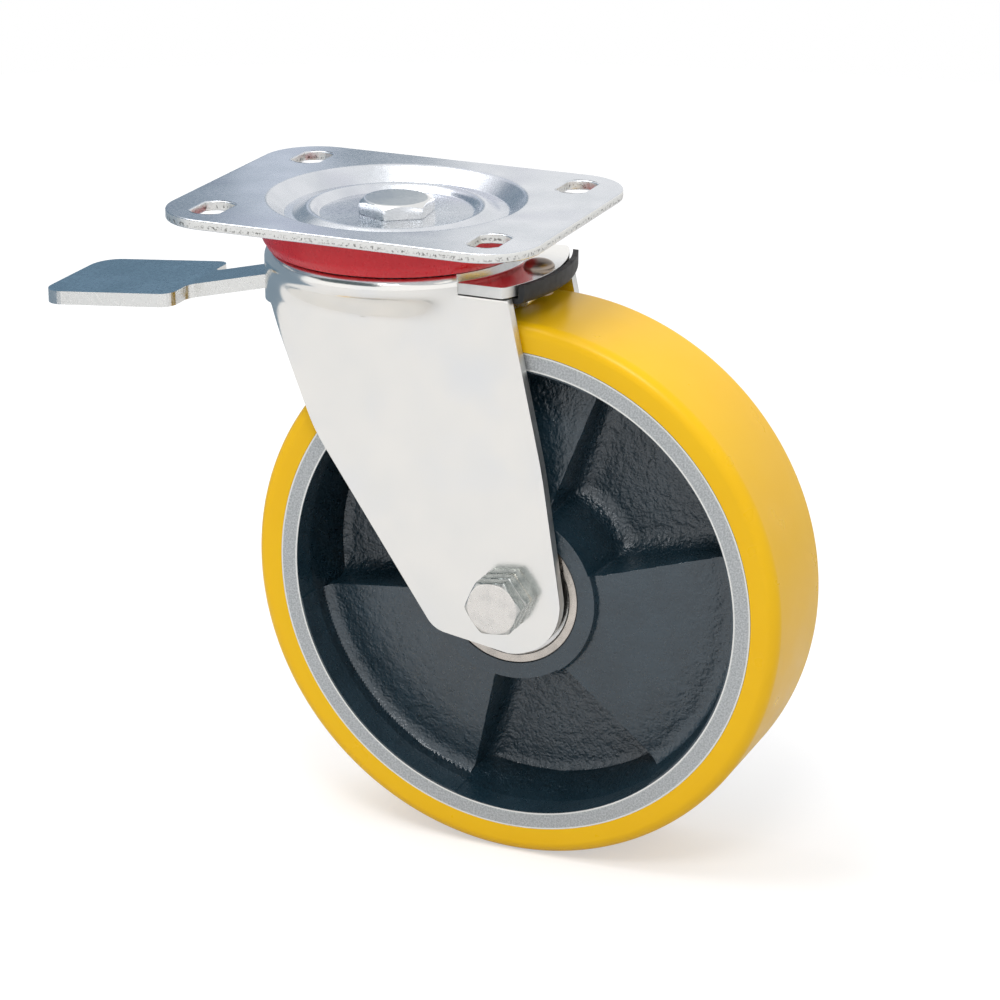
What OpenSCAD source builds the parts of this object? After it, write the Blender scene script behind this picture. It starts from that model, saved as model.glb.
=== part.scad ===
// Swivel castor with a top plate, a pressed steel fork, a cast wheel with a polyurethane tyre
// and a foot brake. Millimetres. The origin is the centre of the plate's top face, on the swivel
// axis. +Z is up, +Y is the side that the wheel trails to, and the axle runs along X.

/* [Top plate] */
// Length of the plate, along the trail
plate_l = 140; // [134:1:160]
// Width of the plate, along the axle
plate_w = 113; // [110:1:124]
// Thickness of the pressed plate
plate_t = 3.5; // [3:0.25:4]
// Corner radius of the plate
plate_corner_r = 20.5; // [12:0.5:24]
// Distance between slot centres along the plate's length
slot_pitch_l = 105; // [102:1:108]
// Distance between slot centres along the plate's width
slot_pitch_w = 78; // [76:1:80]
// Width of a slot
slot_w = 11.5; // [9:0.5:12]
// Length of a slot, end to end
slot_l = 17.5; // [14:0.5:18]
// Distance from the upper ball groove out to the lip of the pressed recess
lip_margin = 8.8; // [8:0.1:9.5]
// Depth of the flat floor in the middle of the recess
bowl_depth = 5.4; // [5:0.1:6]
// Depth of the ring-shaped groove inside the recess's outer wall
ring_depth = 5.1; // [4.8:0.1:5.4]
// Depth of the ridge's crest over the ball track
crest_depth = 3; // [2.5:0.1:3.5]
// Slope of the recess's outer wall
wall_slope = 41; // [38:1:45]

/* [Swivel head] */
// Radius of the upper ball row
track_r = 32.3; // [31.5:0.1:33]
// Diameter of the upper balls
upper_ball_d = 11; // [10:0.5:12]
// Number of upper balls
upper_ball_count = 18; // [12:1:18]
// Radius of the lower ball row
lower_track_r = 23.5; // [23:0.25:24]
// Diameter of the lower balls
lower_ball_d = 6; // [5.5:0.25:6.5]
// Number of lower balls
lower_ball_count = 22; // [14:1:22]
// Room between a ball and its track
ball_gap = 0.2; // [0.15:0.05:0.4]
// Thickness of the lower race's flange
race_t = 3; // [2.5:0.25:4]
// Diameter of the king bolt's shank
king_d = 16; // [14:1:18]
// Width across flats of the king bolt's head and nut
king_af = 24; // [22:1:26]
// Height of the king bolt's head
king_head_h = 5.2; // [5:0.1:6]
// Turn of the king bolt's flats
king_turn = 6.4; // [0:0.2:30]
// Height of the king nut
king_nut_h = 10; // [8:0.5:11]
// Distance that the dust seal stands outside the recess's lip
seal_margin = 1.2; // [0.8:0.1:1.6]
// Wall of the dust seal
seal_t = 1.8; // [1.4:0.1:2]
// Running gap between the dust seal and the crown
seal_gap = 1.1; // [0.6:0.1:1.3]

/* [Fork] */
// Sheet thickness of the fork
fork_t = 4; // [3.5:0.25:4.5]
// Distance from the upper ball groove out to the crown's outside
crown_margin = 9; // [8.5:0.1:9.5]
// Height by which the ball track stands above the crown's rim
crown_step = 2; // [1.6:0.1:2.4]
// Height by which the rim stands above the tongue at the crown's rear
tongue_step = 1.7; // [1.4:0.1:2]
// Radius of the tongue's rear edge
crown_rear_r = 61; // [60:0.5:62]
// Distance from the swivel axis back to the axle
trail = 54; // [50:1:56]
// Radius of the leg's end round the axle
leg_tip_r = 20; // [19:0.5:22]
// Distance that the leg's toe stands ahead of the axle
leg_toe = 27; // [25:0.5:30]
// Depth of the front wall's lower edge under the plate's top face
front_wall_depth = 36; // [35:0.5:38]
// Depth at which the leg's front edge bends
front_knee_depth = 80; // [74:1:86]
// Slope of the leg's front edge above its toe
toe_slope = 56; // [54:0.5:58]
// Distance from the axle to the leg's rear edge
leg_rear_r = 21.8; // [21:0.1:23]
// Lean of the rear edge's lower part from the vertical
rear_lean = 9.1; // [8:0.1:10]
// Height above the axle at which the rear edge bends
rear_knee = 49; // [44:1:54]
// Rise of the leg's lower edge towards the toe
toe_rise = 10; // [6:0.5:13]
// Gap between the wheel and each leg
leg_gap = 1.4; // [1.2:0.1:2]

/* [Wheel] */
// Diameter of the wheel over the tyre
wheel_d = 200; // [190:2:210]
// Width of the wheel
wheel_w = 48; // [46:1:50]
// Thickness of the tyre
tyre_t = 10; // [8:0.5:11]
// Radius of the tyre's edges
tyre_edge_r = 4.5; // [2:0.5:6]
// Radial depth of the rim at the wheel's faces
rim_t = 6; // [5:0.5:7]
// Set-back of the raised web sectors from the wheel's faces, beside the hub
hub_setback = 3.5; // [3:0.25:5]
// Set-back of the raised web sectors from the wheel's faces, beside the rim
rim_setback = 16; // [13:0.5:17]
// Depth of the pockets' floors beyond the wheel's middle
pocket_past = 3; // [2:0.5:4]
// Angle between the side walls of a raised sector
raised_angle = 59.7; // [54:0.5:64]
// Thickness of the walls beside the pockets
web_wall_t = 7; // [6:0.5:8]
// Angle from straight down to the middle of the first raised sector
sector_turn = 72.7; // [60:1:90]
// Wall of the hub round the bearing, at the wheel's faces
hub_wall = 5; // [4.5:0.5:6]

/* [Wheel bearings and axle] */
// Bore of the ball bearing
bearing_bore = 25; // [24:0.5:26]
// Outer diameter of the ball bearing
bearing_od = 52; // [50:0.5:54]
// Width of the ball bearing
bearing_w = 15; // [13:0.5:16]
// Diameter of the bearing's balls
bearing_ball_d = 7.9; // [7:0.1:8.2]
// Number of balls in a bearing
bearing_ball_count = 9; // [7:1:10]
// Diameter of the axle bolt
axle_d = 12; // [11:0.5:13]
// Width across flats of the axle bolt's head and nuts
axle_af = 19; // [18:0.5:20]
// Height of the axle bolt's head
axle_head_h = 5.3; // [5:0.1:7.5]
// Height of the lock nut under the head
lock_nut_h = 5.2; // [5:0.1:7]
// Height of the axle nut
axle_nut_h = 10; // [8:0.5:12]
// Turn of the bolt head's flats
head_turn = 6; // [0:1:30]

/* [Brake] */
// Thickness of the brake lever
lever_t = 5; // [4:0.25:5.5]
// Width of the lever's stem
stem_w = 20; // [18:0.5:21]
// Width of the pedal pad
pedal_w = 47; // [42:1:50]
// Length of the pedal pad
pedal_l = 54.5; // [50:0.5:60]
// Reach of the pedal's free end from the swivel axis
pedal_reach = 133.5; // [128:0.5:138]
// Slope of the stem
stem_slope = 13.7; // [13:0.1:15]
// Slope of the pedal pad
pedal_slope = 5.4; // [4:0.2:7]
// Thickness of the brake shoe's sheet
shoe_t = 2; // [1.5:0.25:2.5]
// Gap between the brake pad and the tyre when the brake is off
brake_gap = 1.9; // [1.9:0.1:2.2]

/* [Hidden] */

$fn = 96;
eps = 0.01;
// Radial running fit between parts that turn on each other
run_fit = 0.05;
// Radial room round a bolt in its hole
bolt_fit = 0.2;
// Radius of the grooves in which the balls run
groove_r = upper_ball_d / 2 + ball_gap;
lower_groove_r = lower_ball_d / 2 + ball_gap;

// Radii of the swivel head, from the upper ball groove out
track_out_r = track_r + groove_r;
recess_r = track_out_r + lip_margin;
crown_r = track_out_r + crown_margin;
seal_r = recess_r + seal_margin;
crown_hole_r = lower_track_r - 3.5;
race_r = lower_track_r + 4.5;
race_sleeve_r = king_d / 2 + 6;

// Heights of the swivel head, from the plate down
track_cover = 2.6;
upper_ball_z = -(crest_depth + track_cover + groove_r);
track_bite = 1.5;
platform_z = upper_ball_z - groove_r + track_bite;
rim_z = platform_z - crown_step;
tongue_z = rim_z - tongue_step;
tongue_under_z = tongue_z - fork_t;
lower_bite = 1;
lower_ball_z = platform_z - fork_t + lower_bite - lower_groove_r;
race_top_z = lower_ball_z - lower_groove_r + lower_bite;
race_bottom_z = race_top_z - race_t;
king_nut_z = race_bottom_z - king_nut_h;
bowl_floor_z = -bowl_depth;
bowl_under_z = bowl_floor_z - plate_t;

// Heights of the brake, whose shoe and lever lie under the crown's tongue
shoe_room = 0.6;
shoe_top_z = tongue_under_z - shoe_room;
lever_top_z = shoe_top_z - shoe_t;
lever_under_z = lever_top_z - lever_t;
tyre_clear = 2.2;
wheel_r = wheel_d / 2;
axle_z = lever_under_z - tyre_clear - wheel_r;

// Widths along the axle
leg_in = wheel_w / 2 + leg_gap;
leg_out = leg_in + fork_t;

// Points round an arc, from angle a0 to a1
function arc(c, r, a0, a1, n) =
    [for (i = [0 : n]) let (a = a0 + (a1 - a0) * i / n) c + r * [cos(a), sin(a)]];
// Direction of a vector
function dir(v) = v / norm(v);
// Corner of a line, rounded with radius r between its neighbours
function fillet(p, q, s, r, n) =
    let (u = dir(p - q), v = dir(s - q), half = acos(u * v) / 2,
        back = min(r / tan(half), 0.48 * norm(p - q), 0.48 * norm(s - q)),
        rr = back * tan(half), c = q + dir(u + v) * rr / sin(half),
        w0 = q + u * back - c, a0 = atan2(w0[1], w0[0]),
        turn = (u[0] * v[1] - u[1] * v[0] > 0 ? -1 : 1) * (180 - 2 * half))
    half > 89.9 ? [q] : arc(c, rr, a0, a0 + turn, n);
// Closed outline whose points are [x, y, fillet radius]
function rounded(p, n = 8) = let (m = len(p))
    [for (i = [0 : m - 1]) let (q = [p[i][0], p[i][1]], a = p[(i + m - 1) % m], b = p[(i + 1) % m])
        each p[i][2] > 0 ? fillet([a[0], a[1]], q, [b[0], b[1]], p[i][2], n) : [q]];
// Open line whose inner points are rounded the same way
function rounded_line(p, n = 8) = let (m = len(p))
    [for (i = [0 : m - 1]) let (q = [p[i][0], p[i][1]])
        each (i > 0 && i < m - 1 && p[i][2] > 0
            ? fillet([p[i - 1][0], p[i - 1][1]], q, [p[i + 1][0], p[i + 1][1]], p[i][2], n) : [q])];
// Corner of the parallel line that lies at distance t on the line's right side
function beside(a, q, b, t) =
    let (u = dir(q - a), v = dir(b - q), nu = [u[1], -u[0]], nv = [v[1], -v[0]])
    q + (nu + nv) * t / (1 + nu * nv);
// Band of thickness t on the right side of an open line of [x, y, radius] points
function band(p, t, n = 8) = let (m = len(p),
        c = [for (q = p) [q[0], q[1]]],
        turn = [for (i = [0 : m - 1]) i == 0 || i == m - 1 ? 0
            : let (u = c[i] - c[i - 1], v = c[i + 1] - c[i]) sign(u[0] * v[1] - u[1] * v[0])],
        side = [for (i = [0 : m - 1])
            let (a = i == 0 ? 2 * c[0] - c[1] : c[i - 1],
                b = i == m - 1 ? 2 * c[i] - c[i - 1] : c[i + 1], q = beside(a, c[i], b, t))
            [q[0], q[1], p[i][2] == 0 ? 0 : max(p[i][2] + turn[i] * t, 0.3)]],
        back = [for (i = [m - 1 : -1 : 0]) side[i]])
    concat(rounded_line(p, n), rounded_line(back, n));
// Where the line through p at angle a meets the line through q at angle b
function crossing(p, a, q, b) =
    let (u = [cos(a), sin(a)], v = [cos(b), sin(b)], w = q - p)
    p + u * (w[0] * v[1] - w[1] * v[0]) / (u[0] * v[1] - u[1] * v[0]);
function smooth(t) = let (c = min(max(t, 0), 1)) c * c * (3 - 2 * c);

// Parts with their round axis along X, set at the axle
module on_axle() { translate([0, trail, axle_z]) rotate([0, 90, 0]) children(); }
// The near side is +X, and the far side mirrors it
module far_side() { mirror([1, 0, 0]) children(); }
module tube(r_out, r_in, x0, x1) {
    translate([0, 0, x0]) difference() {
        cylinder(r = r_out, h = x1 - x0);
        translate([0, 0, -1]) cylinder(r = r_in, h = x1 - x0 + 2);
    }
}
// Hexagon with its corners chamfered on the sides that are asked for
module hexagon(af, h, chamfer_low, chamfer_high) {
    corner_r = af / sqrt(3);
    cut = corner_r - af / 2;
    slope = cut * tan(30);
    intersection() {
        cylinder(r = corner_r, h = h, $fn = 6);
        rotate_extrude() polygon([[0, 0],
            [chamfer_low ? af / 2 - 0.4 : corner_r + 1, 0],
            [chamfer_low ? af / 2 - 0.4 + 2 * cut : corner_r + 1, chamfer_low ? 2 * slope : 0],
            [chamfer_high ? af / 2 - 0.4 + 2 * cut : corner_r + 1, chamfer_high ? h - 2 * slope : h],
            [chamfer_high ? af / 2 - 0.4 : corner_r + 1, h],
            [0, h]]);
    }
}
module ball_row(r, d, count, z) {
    for (i = [0 : count - 1]) rotate([0, 0, i * 360 / count]) translate([r, 0, z])
        sphere(d = d, $fn = 24);
}
module groove(r, groove_radius, z) {
    rotate_extrude() translate([r, z]) circle(r = groove_radius, $fn = 48);
}

// Top plate: a rounded rectangle whose middle is pressed into a ring-shaped groove, a ridge over
// the ball track and a bowl
lip_r = 2.75;
crest_r = 3.4;
crest_in = 1;
ridge_out_slope = 25;
ridge_in_slope = 50;
crest = [track_r - crest_in, -crest_depth - crest_r];
ridge_out = crest + crest_r * [cos(90 - ridge_out_slope), sin(90 - ridge_out_slope)];
ridge_in = crest + crest_r * [cos(90 + ridge_in_slope), sin(90 + ridge_in_slope)];
wall_top_r = recess_r - lip_r * tan(wall_slope / 2);
wall_foot_r = wall_top_r - ring_depth / tan(wall_slope);
joint_r = recess_r + 5;
king_hole_r = king_d / 2 + bolt_fit;
// The pressed wall's underside, parallel to its upper face
under_foot = [wall_foot_r + plate_t * sin(wall_slope), -ring_depth - plate_t * cos(wall_slope)];
function wall_under_z(r) = min(under_foot[1] + (r - under_foot[0]) * tan(wall_slope), -plate_t);
function wall_under_r(z) = under_foot[0] + (z - under_foot[1]) / tan(wall_slope);
function recess_line() = concat(
    [[king_hole_r, bowl_floor_z]],
    fillet([king_hole_r, bowl_floor_z], [ridge_in[0] - (ridge_in[1] + bowl_depth) / tan(ridge_in_slope),
        bowl_floor_z], ridge_in, 1.2, 5),
    arc(crest, crest_r, 90 + ridge_in_slope, 90 - ridge_out_slope, 14),
    fillet(ridge_out, [ridge_out[0] + (ridge_out[1] + ring_depth) / tan(ridge_out_slope), -ring_depth],
        [wall_foot_r, -ring_depth], 2, 4),
    fillet([wall_foot_r - 2, -ring_depth], [wall_foot_r, -ring_depth], [wall_top_r, 0], 1, 5),
    fillet([wall_foot_r, -ring_depth], [wall_top_r, 0], [joint_r, 0], lip_r, 8),
    [[joint_r, 0]]);
function recess_under() = concat(
    [[joint_r, -plate_t]],
    fillet([joint_r, -plate_t], [wall_under_r(-plate_t), -plate_t], under_foot, 0.6, 3),
    fillet([wall_under_r(-plate_t), -plate_t], [wall_under_r(bowl_under_z), bowl_under_z],
        [king_hole_r, bowl_under_z], 3, 5),
    [[king_hole_r, bowl_under_z]]);

module slot_at(x, y) {
    for (s = [-1, 1]) translate([x + s * (slot_l - slot_w) / 2, y, -plate_t - 1])
        cylinder(d = slot_w, h = plate_t + 2);
    translate([x - (slot_l - slot_w) / 2, y - slot_w / 2, -plate_t - 1])
        cube([slot_l - slot_w, slot_w, plate_t + 2]);
}

module top_plate() color("lightsteelblue") {
    difference() {
        translate([0, 0, -plate_t]) linear_extrude(plate_t) polygon(rounded([
            [-plate_w / 2, -plate_l / 2, plate_corner_r], [plate_w / 2, -plate_l / 2, plate_corner_r],
            [plate_w / 2, plate_l / 2, plate_corner_r], [-plate_w / 2, plate_l / 2, plate_corner_r]]));
        translate([0, 0, -plate_t - 1]) cylinder(r = joint_r - 1, h = plate_t + 2);
        for (x = [-1, 1], y = [-1, 1]) slot_at(x * slot_pitch_w / 2, y * slot_pitch_l / 2);
    }
    difference() {
        rotate_extrude() polygon(concat(recess_line(), recess_under()));
        groove(track_r, groove_r, upper_ball_z);
    }
}

module king_bolt() color("gainsboro") {
    translate([0, 0, bowl_floor_z]) rotate([0, 0, king_turn]) hexagon(king_af, king_head_h, false, true);
    translate([0, 0, king_nut_z - 1]) cylinder(d = king_d, h = bowl_floor_z - king_nut_z + 1 + eps);
}

module king_nut() color("silver") {
    difference() {
        translate([0, 0, king_nut_z]) hexagon(king_af, king_nut_h, true, false);
        translate([0, 0, king_nut_z - 1]) cylinder(d = king_d, h = king_nut_h + 2);
    }
}

module lower_race() color("dimgray") {
    difference() {
        union() {
            translate([0, 0, race_bottom_z]) cylinder(r = race_r, h = race_t);
            translate([0, 0, race_bottom_z + race_t / 2])
                cylinder(r = race_sleeve_r, h = bowl_under_z - race_bottom_z - race_t / 2);
        }
        translate([0, 0, race_bottom_z - 1]) cylinder(r = king_d / 2 + bolt_fit,
            h = bowl_under_z - race_bottom_z + 2);
        groove(lower_track_r, lower_groove_r, lower_ball_z);
    }
}

// Dust seal: a skirt that hangs from the plate and turns in just above the crown's rim
seal_fit = 0.1;
seal_turn_in = 2.1;
seal_turn_h = 3.4;
seal_in_r = seal_r - seal_t;
seal_bottom_z = rim_z + seal_gap;
seal_bottom_r = seal_r - seal_turn_in;
module dust_seal() color("crimson") {
    turn_z = seal_bottom_z + seal_turn_h;
    rotate_extrude() polygon(concat(
        [[seal_in_r, wall_under_z(seal_in_r) - seal_fit],
            [wall_under_r(-plate_t), -plate_t - seal_fit], [seal_r, -plate_t - seal_fit]],
        fillet([seal_r, -plate_t], [seal_r, turn_z], [seal_bottom_r, seal_bottom_z], 3, 6),
        [[seal_bottom_r, seal_bottom_z], [seal_bottom_r - seal_t, seal_bottom_z]],
        fillet([seal_bottom_r - seal_t, seal_bottom_z], [seal_in_r, turn_z], [seal_in_r, -plate_t], 2, 6)));
}

module upper_balls() color("lightgray") ball_row(track_r, upper_ball_d, upper_ball_count, upper_ball_z);
module lower_balls() color("lightgray")
    ball_row(lower_track_r, lower_ball_d, lower_ball_count, lower_ball_z);

// Fork: one pressed sheet. Its horizontal section runs from the rear of one leg, round the front
// wall and back along the other leg. The crown's circle flares into the flat legs on its way down.
bulge_z = rim_z - 4.5;
flare_end_z = bulge_z - 16;
edge_r = 4;
// Rise of the inner skin of the flare, which keeps the sheet's thickness on the slope
flare_lift = fork_t * 0.6;
corner_power = 12;
ring_half = 24;
rear_y = trail + 30;
leg_bottom_z = axle_z - leg_tip_r - 8;

// Radius of the crown's circle at height z, with its top edge rounded
function crown_radius(z, inset, top) = let (er = max(edge_r - inset, 1), d = z - (top - er))
    crown_r - inset - (d <= 0 ? 0 : er - sqrt(max(er * er - d * d, 0)));
// Share of the crown's circle that is left at height z
function flare(z, lift) = 1 - smooth((bulge_z + lift - z) / (bulge_z - flare_end_z));
// Distance from the swivel axis to the skin in direction a, counted from the front
function skin(a, r, leg_x, share) = let (s = max(abs(sin(a)), 0.001), leg = leg_x / s,
        bottom = abs(a) < 90 ? pow(pow(r, -corner_power) + pow(leg, -corner_power), -1 / corner_power)
            : leg)
    share * r + (1 - share) * bottom;
function fork_ring(z, inset, top, lift) =
    let (r = crown_radius(z, inset, top), leg_x = leg_out - inset, a_end = 180 - asin(leg_x / r),
        share = flare(z, lift), n = ring_half, back = rear_y + (inset > 0 ? 1 : 0))
    concat([[-leg_x, back, z]],
        [for (i = [-n : n]) let (a = a_end * i / n, d = skin(a, r, leg_x, share))
            [d * sin(a), -d * cos(a), z]],
        [[leg_x, back, z]]);
// Solid through rings of points, one ring per height, from the top down. The end faces start at
// the foremost point, from which the whole ring is in sight
module ring_solid(rings) {
    m = len(rings);
    n = len(rings[0]);
    front = floor(n / 2);
    polyhedron(points = [for (ring = rings) each ring],
        faces = concat([[for (i = [n - 1 : -1 : 0]) (front + i) % n]],
            [[for (i = [0 : n - 1]) (m - 1) * n + (front + i) % n]],
            [for (k = [0 : m - 2], i = [0 : n - 1]) let (j = (i + 1) % n)
                [k * n + i, k * n + j, (k + 1) * n + j, (k + 1) * n + i]]));
}
function fork_heights(inset, top, bottom, lift) = let (er = max(edge_r - inset, 1),
        start = min(bulge_z + lift, top - er - 0.2))
    concat([for (a = [0 : 30 : 90]) top - er * (1 - cos(a))],
        [for (i = [0 : 9]) start + (flare_end_z + lift - start) * i / 9], [bottom]);
module fork_skin(inset, top, bottom, lift) {
    ring_solid([for (z = fork_heights(inset, top, bottom, lift)) fork_ring(z, inset, top, lift)]);
}

// Side outline of the fork, in the plane of the trail and the height
front_reach = crown_r + 15;
leg_front_y = -sqrt(pow(crown_r, 2) - pow(leg_out, 2));
leg_back_y = sqrt(pow(crown_rear_r, 2) - pow(leg_out, 2));
lower_line = [trail, axle_z - leg_tip_r / cos(toe_rise)];
toe = [trail - leg_toe, lower_line[1] + leg_toe * tan(toe_rise)];
front_knee = [toe[0] - (-front_knee_depth - toe[1]) / tan(toe_slope), -front_knee_depth];
rear_knee_y = trail + (leg_rear_r - rear_knee * sin(rear_lean)) / cos(rear_lean);
knee = [rear_knee_y, axle_z + rear_knee];
heel = crossing(knee, rear_lean - 90, lower_line, 180 - toe_rise);
rear_top_y = leg_back_y - (knee[0] - leg_back_y) * -tongue_z / (tongue_z - knee[1]);
module fork_outline() {
    polygon(rounded([[-front_reach, 0, 0], [-front_reach, -front_wall_depth, 0],
        [leg_front_y, -front_wall_depth, 4], [front_knee[0], front_knee[1], 60],
        [toe[0], toe[1], 10], [heel[0], heel[1], leg_tip_r], [knee[0], knee[1], 200],
        [rear_top_y, 0, 0]], 12));
}

// The crown's middle, pressed up into the upper track and down round the lower one
press_out_r = track_r + groove_r + 0.4;
module crown_pressing() {
    half_up = sqrt(pow(groove_r, 2) - pow(upper_ball_z - platform_z, 2));
    a_up = acos(half_up / groove_r);
    under_r = groove_r + plate_t;
    a_under = asin((upper_ball_z - platform_z + fork_t) / under_r);
    difference() {
        rotate_extrude() polygon(concat(
            [[crown_hole_r, platform_z - fork_t], [crown_hole_r, platform_z]],
            arc([track_r, upper_ball_z], groove_r, 180 + a_up, 360 - a_up, 16),
            [[press_out_r, platform_z], [press_out_r + crown_step, rim_z - 0.4],
                [press_out_r + crown_step, rim_z - fork_t + 0.6],
                [press_out_r - 0.2, rim_z - fork_t + 0.6]],
            arc([track_r, upper_ball_z], under_r, 360 - a_under, 180 + a_under, 12)));
        groove(lower_track_r, lower_groove_r, lower_ball_z);
    }
}

// Tongue: the crown's rear, one step below its rim. A slit parts it from the legs' upper edges
slit = 0.5;
step_run = 1.8;
step_foot_r = crown_r + 0.4;
module tongue() {
    intersection() {
        rotate_extrude() polygon([[step_foot_r - step_run - fork_t, rim_z - fork_t + 0.5],
            [step_foot_r - step_run, rim_z], [step_foot_r, tongue_z], [crown_rear_r, tongue_z],
            [crown_rear_r, tongue_under_z], [step_foot_r - 1, tongue_under_z]]);
        translate([-leg_out, leg_back_y * 0.3, tongue_under_z - 1])
            cube([2 * leg_out, crown_rear_r, fork_t * 2 + 1]);
    }
}
module tongue_room() {
    difference() {
        translate([-leg_out - 1, 0, tongue_under_z - slit])
            cube([2 * leg_out + 2, rear_y + 10, rim_z - tongue_under_z + slit + 1]);
        translate([0, 0, tongue_under_z - slit - 1]) cylinder(r = crown_r + 0.1, h = 20);
    }
}

notch_w = stem_w + 2;
notch_room = 1.6;
module fork() color("whitesmoke") {
    difference() {
        union() {
            difference() {
                intersection() {
                    difference() {
                        fork_skin(0, rim_z, leg_bottom_z, 0);
                        fork_skin(fork_t, rim_z - fork_t, leg_bottom_z - 1, flare_lift);
                    }
                    rotate([90, 0, 90]) translate([0, 0, -leg_out - 30])
                        linear_extrude(2 * leg_out + 60) fork_outline();
                }
                translate([0, 0, rim_z - fork_t - 1])
                    cylinder(r = press_out_r + crown_step - 1, h = fork_t + 2);
                tongue_room();
            }
            tongue();
            crown_pressing();
        }
        // Axle holes
        on_axle() translate([0, 0, -leg_out - 1]) cylinder(d = axle_d + 2 * bolt_fit, h = 2 * leg_out + 2);
        // Notch in the front wall for the lever's stem
        translate([-notch_w / 2, -crown_r - 5, stem_z(-crown_r) + notch_room - 40]) cube([notch_w, 20, 40]);
        // Hole for the brake rivet
        translate([0, rivet_y, tongue_under_z - 2]) cylinder(r = rivet_r, h = fork_t + 4);
    }
}

// Axle and its fastenings
washer_t = 2.5;
module axle_bolt() color("silver") on_axle() {
    translate([0, 0, leg_out + lock_nut_h]) rotate([0, 0, head_turn])
        hexagon(axle_af, axle_head_h, false, true);
    translate([0, 0, -leg_out - washer_t - axle_nut_h - 2])
        cylinder(d = axle_d, h = 2 * leg_out + washer_t + axle_nut_h + 2 + lock_nut_h + eps);
}
module nut_at(af, h, turn, x0) {
    translate([0, 0, x0]) rotate([0, 0, turn]) difference() {
        hexagon(af, h, true, true);
        translate([0, 0, -1]) cylinder(d = axle_d, h = h + 2);
    }
}
module axle_lock_nut() color("silver") on_axle() nut_at(axle_af, lock_nut_h, head_turn + 2, leg_out);
module axle_nut() color("silver") on_axle()
    nut_at(axle_af, axle_nut_h, 14, -leg_out - washer_t - axle_nut_h);
module nut_washer() color("silver") on_axle()
    tube(axle_af * 0.63, axle_d / 2 + bolt_fit, -leg_out - washer_t, -leg_out);
module axle_sleeve() color("gray") on_axle()
    tube(bearing_bore / 2, axle_d / 2 + bolt_fit, -leg_in, leg_in);

// Bearings: positions along the axle, counted from the wheel's middle
bearing_face = wheel_w / 2 - 0.2;
bearing_back = bearing_face - bearing_w;
bearing_mid = bearing_face - bearing_w / 2;
ball_ring_r = (bearing_bore + bearing_od) / 4;
race_wall = 3.6;
bearing_groove_r = bearing_ball_d / 2 + ball_gap;
shield_t = 0.5;
cage_half = bearing_ball_d / 2 + 1.2;
shield_face = bearing_face - 0.5;

module bearing_spacer() color("gray") on_axle()
    tube(bearing_bore / 2 + 3, bearing_bore / 2 + run_fit, -bearing_back, bearing_back);
module side_washer_near() color("lightgray") on_axle()
    tube(bearing_bore / 2 + race_wall, bearing_bore / 2 + run_fit, bearing_face, leg_in);
module side_washer_far() far_side() side_washer_near();
module inner_ring_near() color("lightgray") on_axle() difference() {
    tube(bearing_bore / 2 + race_wall, bearing_bore / 2, bearing_back, bearing_face);
    groove(ball_ring_r, bearing_groove_r, bearing_mid);
}
module inner_ring_far() far_side() inner_ring_near();
module outer_ring_near() color("rosybrown") on_axle() difference() {
    tube(bearing_od / 2, bearing_od / 2 - race_wall, bearing_back, bearing_face);
    groove(ball_ring_r, bearing_groove_r, bearing_mid);
}
module outer_ring_far() far_side() outer_ring_near();
module shield_near() color("darkgray") on_axle()
    tube(bearing_od / 2 - race_wall, bearing_bore / 2 + race_wall + 0.4, shield_face - shield_t, shield_face);
module shield_far() far_side() shield_near();
module balls_near() color("lightgray") on_axle()
    ball_row(ball_ring_r, bearing_ball_d, bearing_ball_count, bearing_mid);
module balls_far() far_side() balls_near();
module cage_near() color("darkgray") on_axle() difference() {
    tube(ball_ring_r + 1, ball_ring_r - 1, bearing_mid - cage_half, bearing_mid + cage_half);
    for (i = [0 : bearing_ball_count - 1]) rotate([0, 0, i * 360 / bearing_ball_count])
        translate([ball_ring_r - 3, 0, bearing_mid]) rotate([0, 90, 0])
            cylinder(d = bearing_ball_d + 0.3, h = 6);
}
module cage_far() far_side() cage_near();

// Wheel
rim_out = wheel_r - tyre_t;
rim_in = rim_out - rim_t;
rim_root = rim_in - 2.1;
hub_r = bearing_od / 2 + hub_wall;
hub_root = hub_r + 3.5;
half_w = wheel_w / 2;
hub_level = half_w - hub_setback;
rim_level = half_w - rim_setback;
web_fillet = 8;

module tyre() color("gold") on_axle()
    rotate_extrude() polygon(rounded([[rim_out, -half_w, 0], [wheel_r, -half_w, tyre_edge_r],
        [wheel_r, half_w, tyre_edge_r], [rim_out, half_w, 0]]));

// Upper line of a raised sector's section, from the hub to the rim, at side 1 near +X
plateau = [[hub_r - 2, hub_level + 1, 0], [hub_r + 1, hub_level + 1, 0], [hub_r + 2.2, hub_level, 2],
    [rim_in - 1.4, rim_level, web_fillet], [rim_in + 1.5, half_w - 1, 0], [rim_in + 3, half_w - 1, 0]];
function on_side(line, side) = [for (p = line) [p[0], side * p[1], p[2]]];
// Section of a raised sector, whose back is the floor of the other side's pocket
module web_section(side) {
    deep = -half_w + 8;
    polygon(rounded(on_side(concat(plateau, [[rim_in + 3, deep, 0], [rim_root + 3, deep, 0],
        [rim_root + 0.3, pocket_past, web_fillet], [hub_root - 0.3, pocket_past, web_fillet],
        [hub_root - 3.5, deep, 0], [hub_r - 2, deep, 0]]), side), 5));
}
// Section between the raised sectors of both sides, from which the walls are cut. It stays a hair
// inside them, so that no two faces coincide
hair = 0.04;
module wall_section() {
    flip = on_side(plateau, -1);
    offset(delta = -hair)
        polygon(rounded(concat(plateau, [for (i = [len(flip) - 1 : -1 : 0]) flip[i]]), 5));
}
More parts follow.
